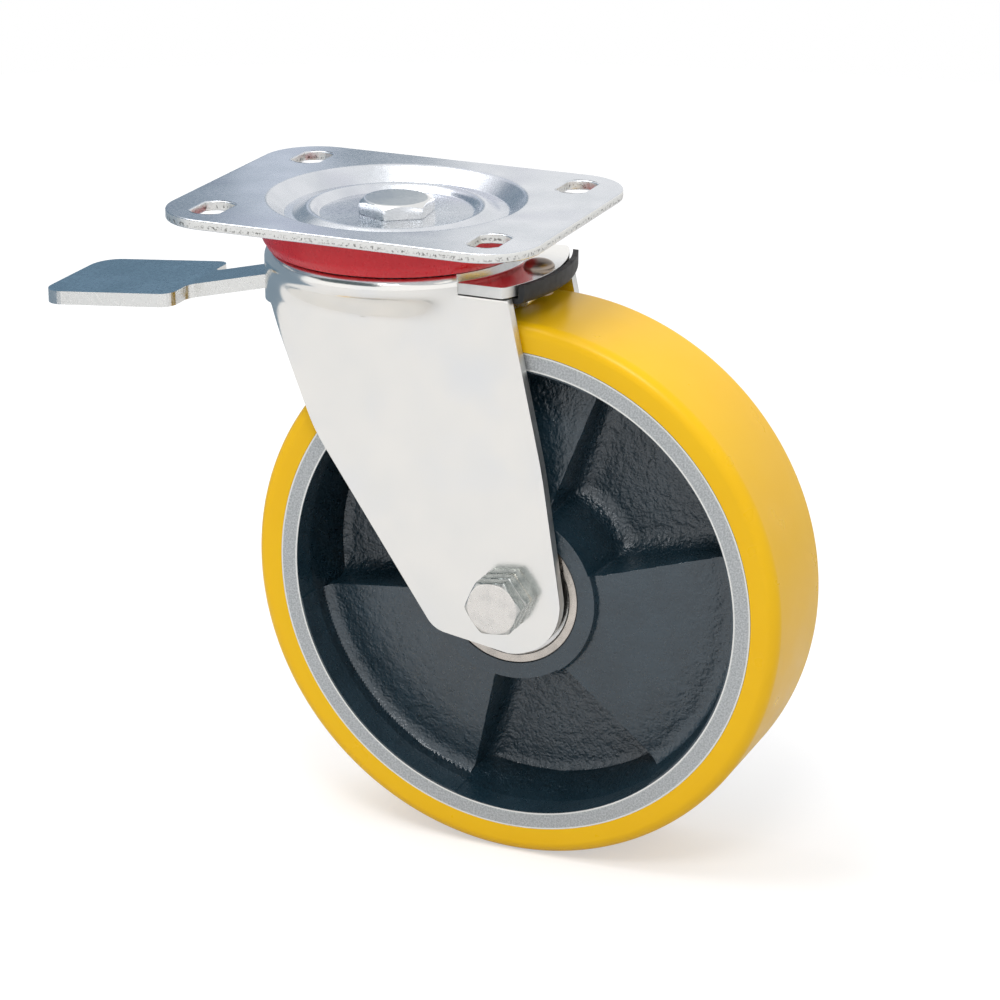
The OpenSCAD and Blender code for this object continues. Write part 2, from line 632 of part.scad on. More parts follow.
// A wall stands wall_out outside the radial line through its sector's side, and it leans so that
// both pockets widen towards their mouths
wall_out = 3.55;
wall_lean = 0.75;
module web_wall(angle, way) {
    intersection() {
        rotate([0, 0, angle]) translate([hub_r - 1, 0, 0]) rotate([90, 0, 90])
            linear_extrude(rim_in - hub_r + 3) polygon([for (p = [
                [wall_out - web_wall_t, half_w], [wall_out, half_w],
                [wall_out + 2 * wall_lean, -half_w], [wall_out - web_wall_t + 2 * wall_lean, -half_w]])
                [way * p[0], p[1]]]);
        rotate([0, 0, angle - 25]) rotate_extrude(angle = 50) wall_section();
    }
}
module wheel_centre() color("darkslategray") on_axle() {
    difference() {
        union() {
            // Rim
            rotate_extrude() polygon([[rim_in, half_w], [rim_out, half_w], [rim_out, -half_w],
                [rim_in, -half_w], [rim_root, 0]]);
            // Hub
            rotate_extrude() polygon([[bearing_od / 2 - 6, half_w], [hub_r, half_w], [hub_root, pocket_past],
                [hub_root, -pocket_past], [hub_r, -half_w], [bearing_od / 2 - 6, -half_w]]);
            for (i = [0 : 2]) rotate([0, 0, sector_turn + i * 120]) {
                rotate([0, 0, -raised_angle / 2]) rotate_extrude(angle = raised_angle) web_section(1);
                rotate([0, 0, raised_angle / 2]) rotate_extrude(angle = 120 - raised_angle) web_section(-1);
                web_wall(raised_angle / 2, 1);
                web_wall(-raised_angle / 2, -1);
            }
        }
        for (s = [-1, 1]) translate([0, 0, s > 0 ? bearing_back : -half_w - 1])
            cylinder(d = bearing_od, h = half_w - bearing_back + 1);
        translate([0, 0, -half_w]) cylinder(r = bearing_od / 2 - race_wall, h = wheel_w);
    }
}

// Brake: a lever that turns on its rounded rear end under the crown's tongue, reaches round the
// king nut and passes out through the front wall to the pedal
lever_end_t = 3;
hinge_y = crown_rear_r - 5;
hinge_z = lever_top_z - lever_end_t / 2;
rivet_y = crown_rear_r - 6.5;
rivet_r = 3;
rivet_dome_r = 5.5;
rivet_head_r = 5;
rivet_head_h = 1.4;
// Room that the moving shoe and lever have round the fixed rivet
rivet_room = 0.8;
rivet_drop = 1.2;
module brake_rivet() color("rosybrown") {
    head_z = lever_top_z - rivet_drop;
    translate([0, rivet_y, 0]) rotate_extrude() polygon(concat(
        [[0, head_z - rivet_head_h], [rivet_head_r, head_z - rivet_head_h], [rivet_head_r, head_z],
            [rivet_r, head_z], [rivet_r, tongue_z], [rivet_dome_r, tongue_z]],
        [for (i = [1 : 8]) let (a = 90 * i / 8) [rivet_dome_r * cos(a), tongue_z + 3 * sin(a)]]));
}

// Side line of the lever's upper face, from its rear end to the pedal's free end
yoke_drop = 1.3;
yoke_top_z = race_bottom_z - yoke_drop;
ramp_foot_y = race_r + 0.5;
ramp_l = 4;
stem_turn_y = -race_r - 7;
pedal_turn_y = -pedal_reach + pedal_l;
// Height of the stem's upper face at distance y
function stem_z(y) = yoke_top_z + (y - stem_turn_y) * tan(stem_slope);
pedal_end_z = stem_z(pedal_turn_y) - pedal_l * tan(pedal_slope);
lever_line = [[hinge_y, lever_top_z, 0], [ramp_foot_y + ramp_l, lever_top_z, 3],
    [ramp_foot_y, yoke_top_z, 3], [stem_turn_y, yoke_top_z, 12],
    [pedal_turn_y, stem_z(pedal_turn_y), 14], [-pedal_reach, pedal_end_z, 0]];
yoke_half = 17;
yoke_side_gap = 1.9;
yoke_r = leg_in - yoke_side_gap;
yoke_room = 3;
pedal_corner_r = 9;
pedal_root_r = 5;
module lever_plan() {
    difference() {
        union() {
            polygon(rounded([[-pedal_w / 2, -pedal_reach, pedal_corner_r],
                [pedal_w / 2, -pedal_reach, pedal_corner_r],
                [pedal_w / 2, pedal_turn_y, pedal_root_r], [stem_w / 2, pedal_turn_y, 3],
                [stem_w / 2, 0, 0], [-stem_w / 2, 0, 0], [-stem_w / 2, pedal_turn_y, 3],
                [-pedal_w / 2, pedal_turn_y, pedal_root_r]]));
            circle(r = yoke_r);
            translate([-yoke_half, 0]) square([2 * yoke_half, hinge_y + lever_t]);
        }
        circle(r = race_sleeve_r + yoke_room);
        translate([0, rivet_y]) circle(r = rivet_head_r + rivet_drop);
    }
}
module brake_lever() color("lightsteelblue") {
    difference() {
        intersection() {
            rotate([90, 0, 90]) translate([0, 0, -pedal_w]) linear_extrude(2 * pedal_w) {
                difference() {
                    polygon(band(lever_line, -lever_t));
                    // The rear end is thinner, so the lower side slopes up to it
                    polygon([[hinge_y - lever_t, lever_under_z - 1], [hinge_y - lever_t, lever_under_z],
                        [hinge_y - 1, lever_top_z - lever_end_t], [hinge_y + 1, lever_top_z - lever_end_t],
                        [hinge_y + 1, lever_under_z - 1]]);
                }
                translate([hinge_y, hinge_z]) circle(d = lever_end_t);
            }
            translate([0, 0, -wheel_r]) linear_extrude(wheel_r) lever_plan();
        }
        shoe_rivets();
    }
}

// Brake shoe: a sheet on the lever's rear end, with a flange round the tongue's rear edge
shoe_half = leg_in - 0.8;
flange_gap = 1.2;
flange_r = crown_rear_r + flange_gap + shoe_t;
flange_top_z = tongue_z + 0.4;
shoe_front_y = ramp_foot_y + ramp_l + 9;
module brake_shoe() color("dimgray") {
    difference() {
        intersection() {
            rotate_extrude() polygon(band([[shoe_front_y - 10, lever_top_z, 0],
                [flange_r, lever_top_z, 2.5], [flange_r, flange_top_z, 0]], -shoe_t));
            translate([-shoe_half, shoe_front_y, lever_top_z - 5]) cube([2 * shoe_half, crown_rear_r, 30]);
        }
        translate([0, rivet_y, lever_top_z - 1]) cylinder(r = rivet_r + rivet_room, h = shoe_t + 2);
        shoe_rivets();
    }
}

// Brake pad: a block under the lever whose lower face follows the tyre
pad_l = 9;
pad_start_y = ramp_foot_y + ramp_l + 1.5;
pad_half = yoke_half - 1;
module brake_pad() color("black") {
    difference() {
        translate([-pad_half, pad_start_y, lever_under_z - 5]) cube([2 * pad_half, pad_l, 5]);
        on_axle() translate([0, 0, -pad_half - 1])
            cylinder(r = wheel_r + brake_gap, h = 2 * pad_half + 2, $fn = 360);
    }
}

// Countersunk rivets that hold the shoe to the lever, flush on both faces
shoe_rivet_x = 12.5;
shoe_rivet_y = shoe_front_y + 5;
shoe_rivet_r = 2;
shoe_rivet_head_r = 3.4;
module shoe_rivets() color("gray") {
    sink = shoe_rivet_head_r - shoe_rivet_r;
    for (s = [-1, 1]) translate([s * shoe_rivet_x, shoe_rivet_y, 0]) rotate_extrude() polygon([
        [0, shoe_top_z], [shoe_rivet_head_r, shoe_top_z], [shoe_rivet_r, shoe_top_z - sink],
        [shoe_rivet_r, lever_under_z + sink], [shoe_rivet_head_r, lever_under_z], [0, lever_under_z]]);
}

top_plate();
king_bolt();
king_nut();
lower_race();
dust_seal();
upper_balls();
lower_balls();
fork();
axle_bolt();
axle_lock_nut();
axle_nut();
nut_washer();
axle_sleeve();
bearing_spacer();
side_washer_near();
side_washer_far();
inner_ring_near();
inner_ring_far();
brake_rivet();
tyre();
wheel_centre();
outer_ring_near();
outer_ring_far();
shield_near();
shield_far();
balls_near();
balls_far();
cage_near();
cage_far();
brake_lever();
brake_shoe();
brake_pad();
shoe_rivets();
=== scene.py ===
import math

import bmesh
import bpy
import numpy as np
from mathutils import Matrix, Vector
from mathutils.geometry import delaunay_2d_cdt


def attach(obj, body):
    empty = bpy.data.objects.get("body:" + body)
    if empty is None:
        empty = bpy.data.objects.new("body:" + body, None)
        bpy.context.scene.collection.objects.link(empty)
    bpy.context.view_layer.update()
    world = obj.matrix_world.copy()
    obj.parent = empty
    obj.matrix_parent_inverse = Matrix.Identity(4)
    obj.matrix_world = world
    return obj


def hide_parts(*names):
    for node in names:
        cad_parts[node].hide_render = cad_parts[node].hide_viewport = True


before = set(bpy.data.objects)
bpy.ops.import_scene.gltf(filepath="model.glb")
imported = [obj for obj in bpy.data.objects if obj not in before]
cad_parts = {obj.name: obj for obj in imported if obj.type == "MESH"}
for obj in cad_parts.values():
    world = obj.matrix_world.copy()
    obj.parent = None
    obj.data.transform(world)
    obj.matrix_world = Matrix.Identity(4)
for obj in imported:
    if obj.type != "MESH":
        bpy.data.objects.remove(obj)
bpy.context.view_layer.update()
scene = bpy.context.scene
print("frame loaded")


def link(obj):
    scene.collection.objects.link(obj)
    return obj


# Camera: angles in degrees, lengths in metres, lens and sensor in millimetres
view = {"azimuth": 113.343, "elevation": 19.974, "roll": 0.18157, "target": (0, 0.03994, -0.10768),
        "far": 1.22134, "lens": 122.67, "sensor": 36}
azimuth, elevation, roll = [math.radians(view[v]) for v in ("azimuth", "elevation", "roll")]
back = Vector((math.sin(azimuth) * math.cos(elevation), -math.cos(azimuth) * math.cos(elevation),
               math.sin(elevation)))
side = Vector((math.cos(azimuth), math.sin(azimuth), 0))
over = back.cross(side)
right = math.cos(roll) * side + math.sin(roll) * over
up = math.cos(roll) * over - math.sin(roll) * side
place = Vector(view["target"]) + back * view["far"]
cameraData = bpy.data.cameras.new("camera")
cameraData.lens = view["lens"]
cameraData.sensor_width = view["sensor"]
camera = link(bpy.data.objects.new("camera", cameraData))
camera.matrix_world = Matrix(((right.x, up.x, back.x, place.x), (right.y, up.y, back.y, place.y),
                              (right.z, up.z, back.z, place.z), (0, 0, 0, 1)))
scene.camera = camera
scene.view_settings.view_transform = "Standard"

# The wheel's axle in millimetres, as all lengths of the pieces are
axle = {"y": 54, "z": -133}
millimetre = 0.001


# Materials: each is a Principled shader whose colour, roughness and bump come from noise in object
# coordinates. Those are in metres, so a grain of 1 mm has a noise scale of about 1000
class Nodes:
    def __init__(self, name, tree=None):
        if tree is None:
            self.material = bpy.data.materials.new(name)
            self.material.use_nodes = True
            tree = self.material.node_tree
            self.shader = tree.nodes["Principled BSDF"]
        self.tree = tree

    def add(self, kind, **values):
        node = self.tree.nodes.new(kind)
        for key, value in values.items():
            setattr(node, key, value)
        return node

    def put(self, socket, value):
        if isinstance(value, bpy.types.NodeSocket):
            self.tree.links.new(value, socket)
        else:
            socket.default_value = value

    def noise(self, scale, detail=3, rough=0.5):
        node = self.add("ShaderNodeTexNoise")
        self.put(node.inputs["Vector"], self.add("ShaderNodeTexCoord").outputs["Object"])
        self.put(node.inputs["Scale"], scale)
        self.put(node.inputs["Detail"], detail)
        self.put(node.inputs["Roughness"], rough)
        return node.outputs["Fac"]

    # Straight line from low, where the value is start, to high, where it is end
    def spread(self, value, low, high, start=0.35, end=0.65):
        node = self.add("ShaderNodeMapRange")
        self.put(node.inputs["Value"], value)
        for key, number in (("From Min", start), ("From Max", end), ("To Min", low), ("To Max", high)):
            self.put(node.inputs[key], number)
        return node.outputs["Result"]

    # X, Y or Z of the place, or of the direction of the surface when the source is Normal
    def axis(self, name, source="Object"):
        node = self.add("ShaderNodeSeparateXYZ")
        self.put(node.inputs[0], self.add("ShaderNodeTexCoord").outputs[source])
        return node.outputs[name]

    # Distance from the wheel's axle, in metres: the root of the sum of both squares
    def fromAxle(self):
        y = self.math("ADD", self.axis("Y"), -axle["y"] * millimetre)
        z = self.math("ADD", self.axis("Z"), -axle["z"] * millimetre)
        return self.math("SQRT", self.math("ADD", self.math("MULTIPLY", y, y), self.math("MULTIPLY", z, z)))

    def math(self, operation, a, b=0.0):
        node = self.add("ShaderNodeMath", operation=operation)
        self.put(node.inputs[0], a)
        self.put(node.inputs[1], b)
        return node.outputs[0]

    # Inputs 6 and 7 and output 2 of a Mix node are its colours
    def blend(self, factor, first, second):
        node = self.add("ShaderNodeMix", data_type="RGBA")
        self.put(node.inputs[0], factor)
        for socket, value in ((node.inputs[6], first), (node.inputs[7], second)):
            self.put(socket, value if isinstance(value, bpy.types.NodeSocket) else (*value, 1))
        return node.outputs[2]

    def bump(self, height, strength, distance=0.0002):
        node = self.add("ShaderNodeBump")
        self.put(node.inputs["Height"], height)
        self.put(node.inputs["Strength"], strength)
        self.put(node.inputs["Distance"], distance)
        return node.outputs["Normal"]

    def finish(self, **values):
        for key, value in values.items():
            if isinstance(value, tuple) and len(value) == 3:
                value = (*value, 1)
            self.put(self.shader.inputs[key.replace("_", " ")], value)
        return self.material


# Metals. Colours are linear. rough is the mean roughness, grain the noise scale of the surface and
# bump its strength. light and dark make patches, and tint lies over them in blotches
finishes = {
    "zinc_plate": {"light": (0.71, 0.73, 0.77), "dark": (0.61, 0.64, 0.68), "tint": (0.56, 0.57, 0.65),
                   "rough": 0.27, "grain": 700, "bump": 0.02},
    "zinc_fork": {"light": (0.94, 0.92, 0.88), "dark": (0.90, 0.89, 0.86), "tint": (0.86, 0.87, 0.88),
                  "rough": 0.17, "grain": 500, "bump": 0.015},
    "zinc_bolt": {"light": (0.82, 0.82, 0.81), "dark": (0.72, 0.73, 0.73), "tint": (0.66, 0.68, 0.73),
                  "rough": 0.23, "grain": 800, "bump": 0.02},
    "bright_steel": {"light": (0.80, 0.80, 0.80), "dark": (0.70, 0.70, 0.70), "tint": (0.72, 0.70, 0.66),
                     "rough": 0.15, "grain": 900, "bump": 0.02},
    "dark_steel": {"light": (0.30, 0.30, 0.31), "dark": (0.22, 0.22, 0.23), "tint": (0.20, 0.19, 0.18),
                   "rough": 0.35, "grain": 900, "bump": 0.04},
    "nickel_rivet": {"light": (0.42, 0.36, 0.31), "dark": (0.33, 0.27, 0.22), "tint": (0.36, 0.30, 0.26),
                     "rough": 0.3, "grain": 900, "bump": 0.03},
    "cut_edge": {"light": (0.86, 0.86, 0.84), "dark": (0.62, 0.63, 0.62), "tint": (0.50, 0.51, 0.50),
                 "rough": 0.42, "grain": 1500, "bump": 0.3},
}
mottle = {"patches": 60, "blotches": 28, "share": 0.8, "begin": (0.5, 0.72), "roughSpread": (0.92, 1.1)}


def metal(name, grain, bump, rough, light, dark, tint):
    m = Nodes(name)
    patches = m.spread(m.noise(mottle["patches"], detail=4), 0, 1)
    blotches = m.spread(m.noise(mottle["blotches"]), 0, mottle["share"], *mottle["begin"])
    fine = m.noise(grain)
    least, most = mottle["roughSpread"]
    return m.finish(Base_Color=m.blend(blotches, m.blend(patches, light, dark), tint), Metallic=1.0,
                    Roughness=m.spread(fine, rough * least, rough * most), Normal=m.bump(fine, bump))


# Plastic, rubber and paint, by the same words
plainFinishes = {
    "red_seal": {"name": "red plastic", "light": (0.74, 0.018, 0.03), "dark": (0.68, 0.014, 0.025),
                 "rough": 0.28},
    "yellow_tyre": {"name": "polyurethane", "light": (0.95, 0.56, 0.005), "dark": (0.92, 0.52, 0.004),
                    "rough": 0.3, "grain": 80, "bump": 0.03, "Specular_IOR_Level": 0.3},
    "black_steel": {"name": "black coating", "light": (0.02, 0.021, 0.023), "dark": (0.014, 0.015, 0.016),
                    "rough": 0.55},
    "black_rubber": {"name": "black rubber", "light": (0.02, 0.02, 0.02), "dark": (0.014, 0.014, 0.014),
                     "rough": 0.8},
}
# Their colour changes over longer distances than their grain, by the factor longer
plainMottle = {"longer": 4, "begin": (0.2, 0.8), "roughSpread": (0.85, 1.2)}


def plain(name, light, dark, rough, grain=400, bump=0.1, **more):
    m = Nodes(name)
    wide = plainMottle["begin"]
    least, most = plainMottle["roughSpread"]
    patches = m.spread(m.noise(grain / plainMottle["longer"]), 0, 1, *wide)
    return m.finish(Base_Color=m.blend(patches, light, dark),
                    Roughness=m.spread(m.noise(grain), rough * least, rough * most, *wide),
                    Normal=m.bump(m.noise(grain), bump), **more)


# Sheared edge of the plate: smooth at the top of the cut and torn, with dark specks, in the middle of
# its height. torn is that middle, and fade the distances from it between which the specks end
sheared = {"light": (0.84, 0.84, 0.82), "speck": (0.20, 0.20, 0.19), "specks": 900, "begin": (0.52, 0.6),
           "torn": -0.0021, "fade": (0.0003, 0.0009), "grain": 1300, "rough": (0.32, 0.5), "bump": 0.35,
           "depth": 0.0003}


def shearedEdge():
    m = Nodes("sheared edge")
    fromMiddle = m.math("ABSOLUTE", m.math("ADD", m.axis("Z"), -sheared["torn"]))
    spots = m.spread(m.noise(sheared["specks"], detail=4, rough=0.7), 0, 1, *sheared["begin"])
    specks = m.math("MULTIPLY", m.spread(fromMiddle, 1, 0, *sheared["fade"]), spots)
    return m.finish(Base_Color=m.blend(specks, sheared["light"], sheared["speck"]), Metallic=1.0,
                    Roughness=m.spread(m.noise(sheared["grain"]), *sheared["rough"]),
                    Normal=m.bump(m.noise(sheared["specks"], detail=4), sheared["bump"], sheared["depth"]))


# Bearing's outer ring, with a dark line where it meets the hub and another inside its ground face.
# hub and groove are distances from the axle, and fade those from the middle of the groove
bearing = {"light": (0.70, 0.64, 0.58), "dark": (0.52, 0.48, 0.44), "line": (0.05, 0.05, 0.05),
           "patches": 120, "hub": (0.0255, 0.0257), "groove": 0.0228, "fade": (0.0001, 0.00025),
           "grain": 900, "rough": (0.2, 0.32), "bump": 0.03}


def bearingSteel():
    m = Nodes("bearing steel")
    r = m.fromAxle()
    fromGroove = m.math("ABSOLUTE", m.math("ADD", r, -bearing["groove"]))
    lines = m.math("MAXIMUM", m.spread(r, 0, 1, *bearing["hub"]),
                   m.spread(fromGroove, 1, 0, *bearing["fade"]))
    ground = m.blend(m.spread(m.noise(bearing["patches"], detail=4), 0, 1), bearing["light"], bearing["dark"])
    return m.finish(Base_Color=m.blend(lines, ground, bearing["line"]), Metallic=1.0,
                    Roughness=m.spread(m.noise(bearing["grain"]), *bearing["rough"]),
                    Normal=m.bump(m.noise(bearing["grain"]), bearing["bump"]))


# Axle bolt and its nuts, with painted light and shade: the ends, where the surface faces along X, are painted
# pale as lit, and the flats darker as shaded
axlePaintedLight = {"facing": (0.75, 0.95), "flat": (0.44, 0.47, 0.46), "flatDark": (0.22, 0.25, 0.25),
              "flatPatches": 260, "end": (0.84, 0.81, 0.77), "endDark": (0.74, 0.72, 0.69), "endPatches": 220,
              "endBegin": (0.45, 0.7), "grain": 800, "rough": (0.2, 0.3), "bumpGrain": 500, "bump": 0.04}


def axleZincPaintedLight():
    m = Nodes("axle zinc, painted light")
    look = axlePaintedLight
    # Painted light: the more the surface faces along X, the more it takes the pale lit colour
    facing = m.spread(m.math("ABSOLUTE", m.axis("X", "Normal")), 0, 1, *look["facing"])
    flatPatches = m.spread(m.noise(look["flatPatches"], detail=4, rough=0.7), 0, 1)
    endPatches = m.spread(m.noise(look["endPatches"], detail=4), 0, 1, *look["endBegin"])
    flats = m.blend(flatPatches, look["flat"], look["flatDark"])
    ends = m.blend(endPatches, look["end"], look["endDark"])
    return m.finish(Base_Color=m.blend(facing, flats, ends), Metallic=1.0,
                    Roughness=m.spread(m.noise(look["grain"]), *look["rough"]),
                    Normal=m.bump(m.noise(look["bumpGrain"]), look["bump"]))


# Lever, with painted shade: its flat faces, which face along Z, are painted darker and bluer than its pale
# sheared sides, for the shaded plate underside that they reflect
leverPaintedShade = {"facing": (0.5, 0.85), "face": (0.31, 0.46, 0.56), "faceDark": (0.25, 0.39, 0.48),
               "patches": 50, "side": (0.84, 0.84, 0.82), "grain": 700, "rough": (0.24, 0.36), "bump": 0.05}


def leverZincPaintedShade():
    m = Nodes("zinc lever, painted shade")
    look = leverPaintedShade
    # Painted shade: the more the surface faces along Z, the more it takes the darker, bluer colour
    facing = m.spread(m.math("ABSOLUTE", m.axis("Z", "Normal")), 0, 1, *look["facing"])
    faces = m.blend(m.spread(m.noise(look["patches"], detail=4), 0, 1), look["face"], look["faceDark"])
    return m.finish(Base_Color=m.blend(facing, look["side"], faces), Metallic=1.0,
                    Roughness=m.spread(m.noise(look["grain"]), *look["rough"]),
                    Normal=m.bump(m.noise(look["grain"]), look["bump"]))


# Painted casting. Its cast texture, large and small lumps given as (noise scale, share), is strong in
# the pockets and weaker on the raised sectors, which begin at a distance from the wheel's middle
paint = {"light": (0.010, 0.030, 0.045), "dark": (0.005, 0.021, 0.033), "patches": 90, "grain": 600,
         "rough": (0.26, 0.36), "large": (330, 0.65), "small": (1000, 0.35), "depth": 0.0014,
         "raised": (0.009, 0.014), "raisedBump": 0.5, "tint": (0.95, 0.97, 1), "coat": 0.25,
         "coatRough": 0.12}


def paintedIron():
    m = Nodes("painted iron")
    strength = m.spread(m.math("ABSOLUTE", m.axis("X")), 1, paint["raisedBump"], *paint["raised"])
    large, small = [m.math("MULTIPLY", m.noise(scale, detail=2), share)
                    for scale, share in (paint["large"], paint["small"])]
    patches = m.spread(m.noise(paint["patches"]), 0, 1)
    return m.finish(Base_Color=m.blend(patches, paint["light"], paint["dark"]),
                    Roughness=m.spread(m.noise(paint["grain"]), *paint["rough"]),
                    Normal=m.bump(m.math("ADD", large, small), strength, paint["depth"]),
                    Specular_IOR_Level=1.0, Specular_Tint=paint["tint"], Coat_Weight=paint["coat"],
                    Coat_Roughness=paint["coatRough"])


# Turned face of the rim, with a pale line at the bond to the tyre and a painted highlight, a pale line, at
# its inner edge, both given as distances from the axle
rim = {"light": (0.58, 0.60, 0.61), "dark": (0.38, 0.40, 0.41), "line": (0.86, 0.86, 0.83), "specks": 1500,
       "begin": (0.4, 0.6), "bond": (0.0893, 0.0896), "inside": (0.0842, 0.0846), "metallic": 0.7,
       "grain": 900, "rough": (0.42, 0.6), "bump": 0.35}


def rimFace():
    m = Nodes("turned rim, painted highlight")
    r = m.fromAxle()
    # The pale line at the inner edge is a painted highlight
    lines = m.math("MAXIMUM", m.spread(r, 0, 1, *rim["bond"]), m.spread(r, 1, 0, *rim["inside"]))
    spots = m.spread(m.noise(rim["specks"], rough=0.7), 0, 1, *rim["begin"])
    return m.finish(Base_Color=m.blend(lines, m.blend(spots, rim["light"], rim["dark"]), rim["line"]),
                    Metallic=rim["metallic"], Roughness=m.spread(m.noise(rim["grain"]), *rim["rough"]),
                    Normal=m.bump(m.noise(rim["specks"]), rim["bump"]))


looks = {name: metal(name.replace("_", " "), **values) for name, values in finishes.items()}
looks.update({name: plain(**values) for name, values in plainFinishes.items()})
looks.update({"zinc_lever": leverZincPaintedShade(), "axle_zinc": axleZincPaintedLight(), "bearing_steel": bearingSteel(),
              "painted_iron": paintedIron(), "plate_edge": shearedEdge(), "rim_face": rimFace()})
for name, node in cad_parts.items():
    for slot in node.material_slots:
        slot.material = looks[slot.material.name.split(".")[0]]
print("materials made")


# Points of an arc: the centre plus the radius times cosine and sine of each angle, in degrees
def arc(centre, radius, start, end, steps):
    angles = np.radians(np.linspace(start, end, steps + 1))
    return np.stack([centre[0] + radius * np.cos(angles), centre[1] + radius * np.sin(angles)], 1)


# Line through (x, y, radius) corners. Each corner becomes an arc that touches both its sides, its
# centre on the line that halves the corner and its ends radius / tan(half the corner) away from it
def rounded(corners, steps=6, closed=True):
    corners = np.array(corners, float)
    line = []
    for i, (x, y, radius) in enumerate(corners):
        q = np.array([x, y])
        if radius == 0 or (not closed and i in (0, len(corners) - 1)):
            line.append(q)
            continue
        u = corners[i - 1][:2] - q
        v = corners[(i + 1) % len(corners)][:2] - q
        u, v = u / np.linalg.norm(u), v / np.linalg.norm(v)
        half = math.acos(np.clip(u @ v, -1, 1)) / 2
        centre = q + (u + v) / np.linalg.norm(u + v) * radius / math.sin(half)
        start = q + u * radius / math.tan(half) - centre
        turn = math.pi - 2 * half
        turn = -turn if u[0] * v[1] - u[1] * v[0] > 0 else turn
        for t in np.linspace(0, turn, steps + 1):
            c, d = math.cos(t), math.sin(t)
            line.append(centre + [c * start[0] - d * start[1], d * start[0] + c * start[1]])
    return np.array(line)


# Faces between rings of points that are numbered one after the other. A ring of one point is a pole
def skin(rings, closed=False, loop=True):
    starts = np.cumsum([0] + [len(ring) for ring in rings])
    faces = []
    pairs = [(i, i + 1) for i in range(len(rings) - 1)] + ([(len(rings) - 1, 0)] if closed else [])
    for i, j in pairs:
        m, n = len(rings[i]), len(rings[j])
        count = max(m, n)
        k = np.arange(count if loop else count - 1)
        after = (k + 1) % count
        a, b = starts[i] + k * (m > 1), starts[i] + after * (m > 1)
        c, d = starts[j] + after * (n > 1), starts[j] + k * (n > 1)
        corners = (a, b, c, d) if m > 1 and n > 1 else ((a, c, d) if m == 1 else (a, b, d))
        faces += np.stack(corners, 1).tolist()
    return np.concatenate(rings), faces


# A point at a radius, an angle that is 0 straight below the axle, and a distance along it
def onAxle(r, angle, x):
    r, angle, x = np.broadcast_arrays(r, angle, x)
    return np.stack([x, axle["y"] + r * np.sin(angle), axle["z"] - r * np.cos(angle)], -1)


# A point at a radius, an angle and a height on the swivel's axis
def onSwivel(r, angle, z):
    r, angle, z = np.broadcast_arrays(r, angle, z)
    return np.stack([r * np.cos(angle), r * np.sin(angle), z], -1)


# Rings round an axis, one for each point (radius, height) of a line
def turned(line, place, count=144):
    angles = np.linspace(0, 2 * math.pi, count, endpoint=False)
    pole = np.array([0.0])
    return [place(pole, pole, h) if r < 1e-6 else place(r, angles, h) for r, h in line]


# Piece on one body, in the place of the nodes named. pick gives a material's number for each face
# from the faces' centres, and edges over the sharp angle stay sharp
def piece(name, points, faces, body, materials, nodes=(), sharp=35, closed=True, pick=None):
    mesh = bpy.data.meshes.new(name)
    mesh.from_pydata((np.asarray(points, float) * millimetre).tolist(), [], faces)
    work = bmesh.new()
    work.from_mesh(mesh)
    bmesh.ops.remove_doubles(work, verts=work.verts, dist=2e-6)
    if closed:
        bmesh.ops.recalc_face_normals(work, faces=work.faces)
    work.to_mesh(mesh)
    work.free()
    mesh.polygons.foreach_set("use_smooth", [True] * len(mesh.polygons))
    mesh.set_sharp_from_angle(angle=math.radians(sharp))
    for material in materials:
        mesh.materials.append(material)
    if pick:
        centres = np.zeros(len(mesh.polygons) * 3)
        mesh.polygons.foreach_get("center", centres)
        mesh.polygons.foreach_set("material_index", pick(centres.reshape(-1, 3) / millimetre).astype(int))
    obj = link(bpy.data.objects.new(name, mesh))
    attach(obj, body)
    if nodes:
        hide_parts(*nodes)
    return obj


def bevel(obj, width, angle=40):
    mod = obj.modifiers.new("bevel", "BEVEL")
    mod.width = width * millimetre
    mod.segments = 3
    mod.limit_method = "ANGLE"
    mod.angle_limit = math.radians(angle)


# Top plate: the pressed middle is turned out to the joint, and the flat rest is filled between loops.
# A slot has two straight sides slotHalf from its middle and curved ends. face is how far from the flat
# faces the sheared edge begins, and support the width of the flat strip beside each rounded edge
plate = {"halfX": 56.5, "halfY": 70, "corner": 20.5, "thick": 3.5, "edge": 0.55, "joint": 48, "turns": 192,
         "slotX": 39, "slotY": 52.5, "slotHalf": 5.75, "slotEnd": 7.2, "slotShift": 1.55, "slotEdge": 0.45,
         "face": 0.3, "support": 0.5, "edgeRows": 5}
# The pressing in (radius, height, corner radius): floor round the bolt, foot and arc of the ridge
# round the floor, slope out to the flat, and underside. The arc's angles are in degrees
pressing = {"hole": 8.2, "floor": -5.4, "floorEnd": 15, "foot": [(27.65, -5.4, 1.3), (28.7, -4.16, 0)],
            "ridge": {"centre": (31.3, -6.35), "radius": 3.4, "start": 140, "end": 65, "steps": 18},
            "slope": [(32.74, -3.27, 0), (36.66, -5.1, 2), (39.9, -5.1, 1), (45.77, 0, 2.75)],
            "under": [(47.08, -3.5, 0.6), (40.87, -8.9, 3), (8.2, -8.9, 0)]}


def plateOutline(inset, steps=14):
    x, y, r = plate["halfX"] - inset, plate["halfY"] - inset, plate["corner"] - inset
    return rounded([(-x, -y, r), (x, -y, r), (x, y, r), (-x, y, r)], steps)


# A slot's two straight sides meet its shallow curved ends at a corner
def slotOutline(cx, cy, inset, steps=14):
    r = plate["slotEnd"] - inset
    span = math.degrees(math.asin((plate["slotHalf"] - inset) / r))
    return np.concatenate([arc((cx + plate["slotShift"], cy), r, -span, span, steps),
                           arc((cx - plate["slotShift"], cy), r, 180 - span, 180 + span, steps)])


# Section of the sheet's edge, a quarter circle at both faces, from top to bottom as (inset, height)
def edgeLine(radius):
    upper = [(radius + plate["support"], 0)]
    upper += [(radius - radius * math.sin(t), -radius + radius * math.cos(t))
              for t in np.linspace(0, math.pi / 2, plate["edgeRows"])]
    return upper + [(inset, -plate["thick"] - z) for inset, z in reversed(upper)]


